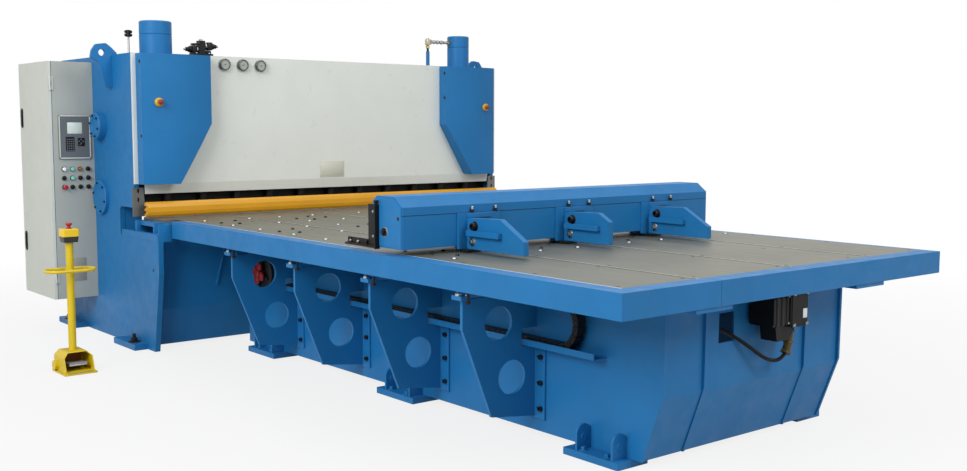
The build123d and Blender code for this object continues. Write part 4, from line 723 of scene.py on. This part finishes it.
# Near-white and not metal: the strips along the slots and the left rail, and the balls in their cups, are
# painted highlights.
painted_highlight = finish("painted_edge_highlight", shade(226, 228, 222), 0.38, tone=0.05, dust=0.0)
dress(ground_plate, "front_deck", "rear_deck")
dress(blue_enamel, "cross_beams", "slot_bars")
rollers, roller_cups, cups, balls = new_shapes(4)
for strip_x, balls_x in STRIPS:
    for group_y in GROUPS_Y:
        for px in (-0.105, 0.105):
            for py in (-0.0745, 0.0745):
                x = strip_x + px * math.cos(SLANT) - py * math.sin(SLANT)
                y = group_y + px * math.sin(SLANT) + py * math.cos(SLANT)
                drop = 0.0205 if FOOT_LANE[0] < x < FOOT_LANE[1] else 0.0060
                turned(rollers, Vector((x, y, DECK - drop)) - AXLE * 0.008, AXLE,
                       [(0, 0), (0.0140, 0), (0.0158, 0.002), (0.0158, 0.014), (0.0140, 0.016), (0, 0.016)])
                # Black cups under the pockets: roller housings, and their black also stands for the shade in
                # the pockets, a painted shade.
                turned(roller_cups, (x, y, DECK - 0.0204), DOWN,
                       [(0.026, 0), (0.026, 0.018), (0.020, 0.022), (0, 0.022)])
        for x in balls_x:
            for y in (group_y - 0.230, group_y + 0.230):
                turned(cups, (x, y, DECK), UP,
                       [(0.019, 0), (0.0185, 0.0012), (0.0130, 0.0014), (0.0122, 0.0003)], sides=28)
                turned(balls, (x, y, DECK - 0.004), UP, DOME, sides=20)
place("deck_rollers", rollers, black_oxide)
place("roller_cups", roller_cups, black_plastic)
place("ball_cups", cups, black_oxide)
place("transfer_balls", balls, painted_highlight)

# Thin near-white strips along one edge of each slot and along the left rail's inner edge: painted highlights.
highlight_strips, deck_screws = new_shapes(2)
strips = [(x + 0.0098, 0.0050, DECK_Y1) for x in SLOTS_X] + [(TABLE_X0 + 0.1058, 0.0060, TABLE_Y1)]
for x, width, end_y in strips:
    boxed(highlight_strips, (x, TABLE_Y0 + 0.107, DECK - 0.001), (x + width, end_y, DECK + 0.0004))
for x in SCREWS_X:
    for k in range(9):
        sunk_screw(deck_screws, (x, TABLE_Y0 + 0.160 + k * 0.560, DECK + 0.0001), 0.0095, 0.0050)
place("slot_edges", highlight_strips, painted_highlight)
place("deck_screws", deck_screws, black_oxide)

# Base: two long walls of bent plate, two front webs with sunk panels between them, and a
# closed rear. Arched lugs on the foot plates carry the levelling screws, and a black valve
# with a red handwheel is flanged to the left wall.
WALL = 0.750
BASE_Y0 = TABLE_Y0 + 0.266
FEET_Y = [BASE_Y0 + 0.391 + 1.740 * i for i in range(3)]
WALL_VALVE = Vector((MID_X - WALL, GROUPS_Y[0], 0.600))
LEFT = (-1, 0, 0)
handwheel_red = finish("handwheel_red", shade(140, 26, 26), 0.4, dust=0.03)
dress(blue_enamel, "table_base", "base_front_panels", "foot_plates", "left_gussets", "right_gussets")
lug_bosses, lug_holes, foot_bolts = new_shapes(3)
for side in (-1, 1):
    for foot_y in FEET_Y:
        for lug_y in (foot_y - 0.147, foot_y + 0.109):
            for way in (-1, 1):
                face = Vector((MID_X + side * (WALL + 0.051), lug_y + way * 0.007, 0.104))
                turned(lug_bosses, face, (0, way, 0), [(0.022, 0), (0.021, 0.003), (0.0115, 0.003)])
                turned(lug_holes, face, (0, way, 0), [(0.0115, 0.0032), (0, 0.0022)])
        for bolt_y in (foot_y - 0.085, foot_y + 0.085):
            hex_bolt(foot_bolts, (MID_X + side * (WALL + 0.072), bolt_y, 0.038), UP, 0.026)
place("lug_bosses", lug_bosses, blue_enamel)
place("lug_holes", lug_holes, blue_enamel)
place("foot_bolts", foot_bolts, blue_enamel)
red_cap, wall_pipe = new_shapes(2)
turned(wall_pipe, WALL_VALVE, LEFT,
       [(0.140, 0), (0.140, 0.020), (0.125, 0.028), (0.060, 0.032), (0.060, 0.046), (0, 0.046)], sides=44)
for k in range(4):
    a = math.radians(20 + 90 * k)
    arm = Vector((0, math.cos(a), math.sin(a)))
    turned(red_cap, WALL_VALVE + arm * 0.054 + Vector((-0.046, 0, 0)), LEFT,
           [(0.014, 0), (0.032, 0.003), (0.036, 0.010), (0.033, 0.022), (0.016, 0.028), (0, 0.028)], sides=18)
    turned(wall_pipe, WALL_VALVE + arm * 0.100 + Vector((-0.026, 0, 0)), LEFT,
           [(0.016, 0), (0.016, 0.018), (0.012, 0.021), (0, 0.021)], sides=14)
turned(red_cap, WALL_VALVE, LEFT,
       [(0.024, 0.044), (0.030, 0.048), (0.030, 0.074), (0.022, 0.080), (0, 0.080)], sides=18)
place("red_handwheel", red_cap, handwheel_red)
place("wall_valve", wall_pipe, black_plastic)

# Gussets: cut plates with two round holes, bolted to the base through a flange with black
# socket screws. A levelling nut on each cap and a bolt beside it carry the table's rail.
GUSSETS_Y = [BASE_Y0 + 0.931 + 0.857 * i for i in range(4)]
CAP_TOP, RAIL_Z0 = 0.838, rail_low[2]
levelling, hanging, gusset_screws, cap_bolts = new_shapes(4)
for side in (-1, 1):
    tip = MID_X + side * (WALL + 0.521)
    for gusset_y in GUSSETS_Y:
        turned(levelling, (tip + side * 0.020, gusset_y, CAP_TOP + 0.0001), UP,
               [(0, 0), (0.019, 0), (0.019, 0.012), (0, 0.0125)], sides=6, spin=0.2)
        turned(hanging, (tip + side * 0.035, gusset_y - 0.100, RAIL_Z0 - 0.0001), DOWN,
               [(0.008, 0), (0.008, 0.046), (0.0145, 0.047), (0.0145, 0.060), (0.012, 0.062), (0, 0.062)],
               sides=6)
        for dy in (-0.028, 0.028):
            hex_bolt(cap_bolts, (tip - side * 0.010, gusset_y + dy, CAP_TOP), UP, 0.010)
        for z in (0.170, 0.314, 0.458):
            seat = Vector((MID_X + side * (WALL + 0.012), gusset_y - 0.062, z))
            socket_screw(gusset_screws, seat, (side, 0, 0), 0.014, 0.018)
            pin = seat + Vector((0, 0.034, 0))
            button(gusset_screws, pin, (side, 0, 0), 0.0045, 0.0006, 0.0005, sides=14)
place("levelling_nuts", levelling, zinc)
place("hanging_bolts", hanging, black_oxide)
place("cap_bolts", cap_bolts, zinc)
place("gusset_screws", gusset_screws, black_oxide)

# Cable tray and chain: a folded blue tray on the left wall, with a black plastic chain of
# pinned links that turns back above it.
CHAIN_Y, CHAIN_Z, CHAIN_R, CHAIN_PITCH = BASE_Y0 + 0.672, 0.553, 0.130, 0.047
PINS_X = MID_X - WALL - 0.0775
dress(blue_enamel, "cable_tray")
dress(black_plastic, "cable_chain")
pin_spots = [(CHAIN_Y + CHAIN_PITCH * k + 0.0475, CHAIN_Z) for k in range(61)]
pin_spots += [(CHAIN_Y + CHAIN_PITCH * k + 0.0235, CHAIN_Z + 2 * CHAIN_R) for k in range(4)]
for k in range(8):
    a = math.radians(101.25 + 22.5 * k)
    pin_spots.append((CHAIN_Y + CHAIN_R * math.cos(a), CHAIN_Z + CHAIN_R + CHAIN_R * math.sin(a)))
pins = bmesh.new()
for y, z in pin_spots:
    button(pins, (PINS_X, y, z), LEFT, 0.0085, 0.0022, 0.0007, sides=12)
place("chain_pins", pins, black_plastic)

# Servo motor: a black square motor on a black gearbox under the front rail, with flat ribs,
# bright corner screws and a bare white tag.
motor_black = finish("motor_black", shade(13, 13, 14), 0.42, tone=0.2, dust=0.03, shine=0.18)
tag_white = finish("tag_white", shade(236, 238, 240), 0.5, dust=0.0, tone=0.01)
dress(motor_black, "servo_motor")
ribs, corner_screws, tag = new_shapes(3)
for k in range(3):
    x = -0.030 - 0.042 * k
    boxed(ribs, MOTOR + Vector((x - 0.022, -0.0885, 0.692)), MOTOR + Vector((x, 0.0725, 0.8485)), 0.003)
turned(ribs, MOTOR + Vector((0.098, 0, 0.634)), UP,
       [(0.016, 0), (0.027, 0.001), (0.027, 0.016), (0.022, 0.020)], sides=6)
for x in (0.002, 0.111):
    for z in (0.690, 0.850):
        socket_screw(corner_screws, MOTOR + Vector((x, -0.095, z)), FRONT, 0.008)
for z in (0.700, 0.840):
    socket_screw(corner_screws, MOTOR + Vector((-0.022, -0.082, z)), LEFT, 0.006)
boxed(tag, MOTOR + Vector((0.082, -0.0958, 0.718)), MOTOR + Vector((0.118, -0.0951, 0.768)), 0.0002)
place("motor_ribs", ribs, motor_black)
place("motor_screws", corner_screws, zinc)
place("white_tag", tag, tag_white)

# Gauge beam: a welded blue trough with a folded cover, held together by pairs of studs. Its
# three arms are bolted on in front and stand on black sliding feet.
beam_low, beam_high = corners_of("beam_body")
BEAM_X0, BEAM_Y0 = beam_low[:2]
BEAM_X1, BEAM_Y1, BEAM_SEAM = beam_high
BEAM_Z0 = DECK + 0.035
ARMS_X = [MID_X - 0.080 + 0.767 * i for i in (-1, 0, 1)]
END_PLATE = [
    (0.008, 0.010), (0.232, 0.010), (0.279, 0.038), (0.279, 0.254),
    (0.238, 0.284), (0.082, 0.284), (0.008, 0.232),
]
dress(blue_enamel, "beam_body", "beam_cover", "gauge_arms")
dress(black_plastic, "arm_feet")
dress(black_paint, "side_bracket")


def prism(shape, corners, along):
    """A flat plate: an outline and its copy moved along a vector."""
    first = [shape.verts.new(corner) for corner in corners]
    second = [shape.verts.new(Vector(corner) + Vector(along)) for corner in corners]
    shape.faces.new(first)
    shape.faces.new(second)
    for i in range(len(corners)):
        j = (i + 1) % len(corners)
        shape.faces.new([first[i], first[j], second[j], second[i]])


seam, beam_studs, bright_bolts, end_plate, bracket_knobs = new_shapes(5)
boxed(seam, (BEAM_X0 - 0.0007, BEAM_Y0 - 0.0007, BEAM_SEAM - 0.0016),
      (BEAM_X1 + 0.0007, BEAM_Y1 + 0.0007, BEAM_SEAM + 0.0016))
for arm_x in ARMS_X:
    for x in (arm_x + 0.045, arm_x + 0.220):
        turned(beam_studs, (x, BEAM_Y0 - 0.0105, BEAM_SEAM), UP,
               [(0.0120, 0), (0.0120, 0.019), (0.0075, 0.0195), (0, 0.0195)], sides=6)
        turned(bright_bolts, (x, BEAM_Y0 - 0.0105, BEAM_SEAM + 0.0196), UP,
               [(0.0072, 0), (0.0072, 0.015), (0.005, 0.017), (0, 0.017)], sides=14)
    for z in (BEAM_Z0 + 0.116, BEAM_Z0 + 0.024):
        for x in (arm_x + 0.066, arm_x + 0.212):
            hex_bolt(beam_studs, (x, BEAM_Y0 - 0.020, z), FRONT, 0.016)
    button(seam, (arm_x - 0.0001, BEAM_Y0 - 0.090, BEAM_Z0 + 0.116), LEFT, 0.029, 0.0006, 0.001)
    socket_screw(beam_studs, (arm_x - 0.0005, BEAM_Y0 - 0.090, BEAM_Z0 + 0.116), LEFT, 0.021)
    hex_bolt(bright_bolts, (arm_x, BEAM_Y0 - 0.070, BEAM_Z0 + 0.026), LEFT, 0.026)
for x, way in ((BEAM_X0, -1), (BEAM_X1, 1)):
    outward = (way, 0, 0)
    prism(end_plate, [(x, BEAM_Y0 + y, BEAM_Z0 + z) for y, z in END_PLATE], (way * 0.003, 0, 0))
    button(bright_bolts, (x + way * 0.0031, BEAM_Y0 + 0.167, BEAM_Z0 + 0.090), outward, 0.029, 0.002, 0.001)
    hex_bolt(beam_studs, (x + way * 0.005, BEAM_Y0 + 0.167, BEAM_Z0 + 0.090), outward, 0.025)
    button(seam, (x + way * 0.0031, BEAM_Y0 + 0.035, BEAM_Z0 + 0.172), outward, 0.011, 0.0005, 0.0005)
for y, z in ((0.262, 0.060), (0.262, 0.200), (0.420, 0.018), (0.500, 0.018)):
    socket_screw(bright_bolts, (BEAM_X0 - 0.010, BEAM_Y0 + y, BEAM_Z0 + z), LEFT, 0.008)
for dx, y, z in ((0.014, 0.224, 0.241), (0.027, 0.224, 0.241), (0.016, 0.330, 0.007), (0.016, 0.512, 0.007)):
    turned(bracket_knobs, (BEAM_X0 - dx, BEAM_Y0 + y, BEAM_Z0 + z), UP,
           [(0.0058, 0), (0.0058, 0.016), (0.0078, 0.017), (0.0078, 0.025), (0.0045, 0.027), (0, 0.027)],
           sides=18)
place("bracket_knobs", bracket_knobs, black_oxide, body="gauge_beam")
place("beam_seam", seam, black_oxide, body="gauge_beam")
place("beam_studs", beam_studs, black_oxide, body="gauge_beam")
place("beam_bright_bolts", bright_bolts, zinc, body="gauge_beam")
place("beam_end_plates", end_plate, blue_enamel, body="gauge_beam")

# Cabinet: powder-coated light grey sheet with a full-height door on hinge pins, two swing
# latches, a bare plate and a panel on its front face.
powder_coat = {"tone": 0.02, "depth": 0.00022, "scale": 700.0, "dust": 0.06}
powder_grey = finish("powder_coat_grey", shade(203, 207, 198), 0.55, **powder_coat)
# The cabinet body is a darker copy of the door's powder coat: painted shade.
shaded_body_grey = finish("powder_coat_body_painted_shade", shade(168, 172, 165), 0.55, **powder_coat)
plate_beige = finish("beige_plate", shade(146, 144, 136), 0.5, dust=0.03)
cabinet_low, cabinet_high = corners_of("cabinet_body")
CAB_X0, CAB_Y0, CAB_Z0 = cabinet_low
dress(powder_grey, "cabinet_door", "door_hinges")
dress(shaded_body_grey, "cabinet_body")
dress(black_plastic, "door_latches")
beige_plate, door_seal = new_shapes(2)
boxed(beige_plate, (-2.002, CAB_Y0 - 0.0016, 0.436), (-1.893, CAB_Y0 - 0.0001, 0.627), 0.0004)
boxed(door_seal, (CAB_X0 - 0.0010, CAB_Y0 - 0.0008, CAB_Z0),
      (CAB_X0 + 0.0020, CAB_Y0 + 0.0010, cabinet_high[2]))
place("door_seal", door_seal, black_plastic)
place("cabinet_bare_plate", beige_plate, plate_beige)

# Control panel: a grey bezel in a pale frame, with a lit screen, a keypad and arrow keys. Below
# it stand three rows of push buttons, selectors and a red stop.
panel_low, panel_high = corners_of("control_panel")
PANEL_X, PANEL_Z = (panel_low[0] + panel_high[0]) / 2, (panel_low[2] + panel_high[2]) / 2
PANEL_Y = CAB_Y0 - 0.015
FRAME_FACES, FILM_FACES, KEY_FACES = (-0.0030, 0.0002), (-0.0034, -0.0026), (-0.0050, -0.0029)
panel_grey = finish("panel_grey", shade(98, 103, 106), 0.5, tone=0.05, dust=0.05)
# The screen's pale green-white is a painted glow of a lit screen.
screen_glass = finish("screen_glass", shade(214, 226, 214), 0.3, tone=0.15, dust=0.0)
key_cap = finish("key_caps", shade(92, 98, 102), 0.5, dust=0.0)
key_red = finish("key_red", shade(170, 50, 44), 0.5, dust=0.0)
dress(panel_grey, "control_panel")


def on_panel(shape, low, high, faces, bevel=0.0):
    """A flat piece between two corners counted from the panel's middle, and two faces from its front."""
    boxed(shape, (PANEL_X + low[0], PANEL_Y + faces[0], PANEL_Z + low[1]),
          (PANEL_X + high[0], PANEL_Y + faces[1], PANEL_Z + high[1]), bevel)


screen, panel_frame, keypad, keys, red_key = new_shapes(5)
on_panel(screen, (-0.060, 0.027), (0.060, 0.118), (0.0022, 0.0039), 0.0006)
for side in (-1, 1):
    near, far = sorted((side * 0.1275, side * 0.1180))
    on_panel(panel_frame, (near, -0.166), (far, 0.166), FRAME_FACES, 0.001)
    low, high = sorted((side * 0.1750, side * 0.1655))
    on_panel(panel_frame, (-0.118, low), (0.118, high), FRAME_FACES, 0.001)
on_panel(keypad, (-0.0765, -0.1135), (-0.0065, 0.0015), FILM_FACES)
on_panel(keypad, (0.0205, -0.0735), (0.0765, -0.0075), FILM_FACES)
for row in range(6):
    for column in range(4):
        x, z = -0.069 + 0.0158 * column, -0.014 - 0.0178 * row
        on_panel(keys, (x, z - 0.010), (x + 0.0112, z), KEY_FACES, 0.0008)
for x, z in ((0.0425, -0.020), (0.0425, -0.052), (0.026, -0.036), (0.059, -0.036)):
    on_panel(keys, (x, z - 0.005), (x + 0.012, z + 0.007), KEY_FACES, 0.0008)
on_panel(red_key, (0.032, -0.066), (0.044, -0.058), KEY_FACES, 0.0008)
place("screen", screen, screen_glass)
place("panel_frame", panel_frame, powder_grey)
place("keypad_films", keypad, black_plastic)
place("panel_keys", keys, key_cap)
place("red_key", red_key, key_red)

BUTTONS = [
    ["white", "teal", "rust", "square"],
    ["selector", "teal", "square", "square"],
    ["red", "selector", "round", "round"],
]
# The white and teal lamp caps are coloured light: a painted glow of lit lamps.
lamp_colours = {
    "white": finish("lamp_white", shade(244, 248, 246), 0.25, dust=0.0),
    "teal": finish("lamp_teal", shade(128, 220, 194), 0.25, dust=0.0),
    "rust": finish("lamp_rust", shade(164, 104, 48), 0.25, dust=0.0),
    "red": finish("lamp_red", shade(168, 28, 32), 0.3, dust=0.0),
}
dress(black_plastic, "push_buttons")
caps = {colour: bmesh.new() for colour in lamp_colours}
grips = bmesh.new()
for row, kinds in enumerate(BUTTONS):
    for column, kind in enumerate(kinds):
        x, y, z = PANEL_X + 0.005 + 0.065 * (column - 1.5), CAB_Y0 - 0.0181, PANEL_Z - 0.259 - 0.073 * row
        if kind == "red":
            turned(caps[kind], (x, y, z), FRONT,
                   [(0.008, 0), (0.008, 0.006), (0.020, 0.011), (0.020, 0.016), (0.014, 0.021), (0, 0.022)],
                   sides=28)
        elif kind in caps:
            turned(caps[kind], (x, CAB_Y0 - 0.0122, z), FRONT,
                   [(0.0155, 0), (0.0155, 0.0048), (0.0125, 0.0088), (0, 0.0092)], sides=28)
        elif kind == "selector":
            boxed(grips, (x - 0.0028, y - 0.010, z - 0.011), (x + 0.0028, y + 0.0002, z + 0.011), 0.0014)
        elif kind == "square":
            boxed(grips, (x - 0.0115, y - 0.003, z - 0.0115), (x + 0.0115, y + 0.0002, z + 0.0115), 0.0014)
        else:
            turned(grips, (x, y, z), FRONT, [(0.0112, 0), (0.0112, 0.003), (0, 0.0032)])
for colour, shape in caps.items():
    place("lamps_" + colour, shape, lamp_colours[colour])
place("button_grips", grips, black_plastic)

# Pedal stand: a yellow sheet hood over a cast pedal, a tube post with a loop handle, and a
# stop box in black and yellow with a red mushroom button.
STAND = Vector((-2.513, -1.230, 0.0))
STOP_BOX_SEAM = 0.9452
stand_enamel = finish("stand_yellow", shade(206, 178, 6), 0.44, coat=0.05, tone=0.05, dust=0.02,
                      edge_wear_and_highlight=(shade(140, 112, 50), 0.4))
cast_grey = finish("cast_grey", shade(128, 130, 130), 0.5, metal=0.6, tone=0.15, dust=0.1)
rust_brown = finish("rust_brown", shade(150, 92, 38), 0.6, dust=0.1)
box_plastic = two_tone("stop_box_two_tone", shade(226, 190, 30), shade(30, 30, 32), "Z", STOP_BOX_SEAM, 0.42)
dress(stand_enamel, "stand_hood", "stand_post")
dress(cast_grey, "foot_pedal")
dress(box_plastic, "stop_box")
dress(lamp_colours["red"], "stop_button")
lining, sole, tread = new_shapes(3)
boxed(lining, STAND + Vector((-0.086, 0.0815, 0.014)), STAND + Vector((0.086, 0.0838, 0.108)), 0.0005)
boxed(sole, STAND + Vector((-0.088, -0.158, 0.0121)), STAND + Vector((0.088, -0.060, 0.0134)), 0.0005)
boxed(tread, STAND + Vector((-0.061, -0.1066, 0.0560)), STAND + Vector((0.061, -0.1048, 0.0640)), 0.0006)
place("hood_lining", lining, rust_brown)
place("hood_sole", sole, cast_grey)
place("pedal_edge", tread, zinc, body="foot_pedal")

# Floor and light: a plain pale floor that fades to white away from the object, four soft
# lamps and a light sky, which the camera and the reflections see as white.
FLOOR_GREY = 0.52
SKY_LIGHT = 0.34
floor_shape = bmesh.new()
bmesh.ops.create_grid(floor_shape, x_segments=1, y_segments=1, size=60.0)
floor_mesh = bpy.data.meshes.new("floor")
floor_shape.to_mesh(floor_mesh)
floor_shape.free()
floor = bpy.data.objects.new("floor", floor_mesh)
floor.location = (-0.6, -2.3, -0.001)
bpy.context.scene.collection.objects.link(floor)
floor_pale = bpy.data.materials.new("pale_floor")
floor_pale.use_nodes = True
tree = floor_pale.node_tree
ground = tree.nodes["Principled BSDF"]
ground.inputs["Base Color"].default_value = (FLOOR_GREY, FLOOR_GREY, FLOOR_GREY, 1)
ground.inputs["Roughness"].default_value = 0.7
away = add(tree, "VectorMath", operation="LENGTH")
feed(tree, add(tree, "TexCoord").outputs["Object"], away.inputs[0])
fade = mapped(tree, away.outputs["Value"], from_min=2.0, from_max=8.0, to_min=0.82)
white = add(tree, "Emission")
white.inputs["Color"].default_value = (1.0, 1.0, 1.0, 1)
path = add(tree, "LightPath").outputs
view = arithmetic(tree, "MAXIMUM", path["Is Camera Ray"], path["Is Glossy Ray"])
both = add(tree, "MixShader")
feed(tree, arithmetic(tree, "MULTIPLY", fade, view), both.inputs[0])
feed(tree, ground.outputs[0], both.inputs[1])
feed(tree, white.outputs[0], both.inputs[2])
feed(tree, both.outputs[0], tree.nodes["Material Output"].inputs["Surface"])
floor_mesh.materials.append(floor_pale)


def soft_lamp(name, spot, target, size, power, mirrored=True):
    """A large square lamp that points at a target, and may stay out of reflections."""
    lamp = bpy.data.lights.new(name, "AREA")
    lamp.size = size
    lamp.energy = power
    lamp_object = bpy.data.objects.new(name, lamp)
    lamp_object.location = spot
    lamp_object.rotation_euler = (Vector(target) - Vector(spot)).to_track_quat("-Z", "Y").to_euler()
    lamp_object.visible_glossy = mirrored
    bpy.context.scene.collection.objects.link(lamp_object)


soft_lamp("left_lamp", (-9.0, -5.0, 5.5), (-0.8, -2.0, 0.8), 5.0, 640)
soft_lamp("front_lamp", (1.0, -12.0, 7.0), (-0.5, -3.0, 0.8), 4.0, 400)
soft_lamp("top_lamp", (-0.5, -2.5, 7.5), (-0.5, -2.5, 0.0), 5.0, 130)
soft_lamp("rear_lamp", (6.5, 7.0, 4.5), (0.0, -0.5, 0.8), 5.0, 260, mirrored=False)

sky = bpy.data.worlds.new("sky")
sky.use_nodes = True
bpy.context.scene.world = sky
tree = sky.node_tree
background = tree.nodes["Background"]
path = add(tree, "LightPath").outputs
reflected = arithmetic(tree, "MAXIMUM", path["Is Glossy Ray"], path["Is Transmission Ray"])
seen = arithmetic(tree, "MAXIMUM", path["Is Camera Ray"], reflected)
extra = arithmetic(tree, "MULTIPLY", seen, 1 - SKY_LIGHT)
feed(tree, arithmetic(tree, "ADD", extra, SKY_LIGHT), background.inputs["Strength"])
background.inputs["Color"].default_value = (1, 1, 1, 1)
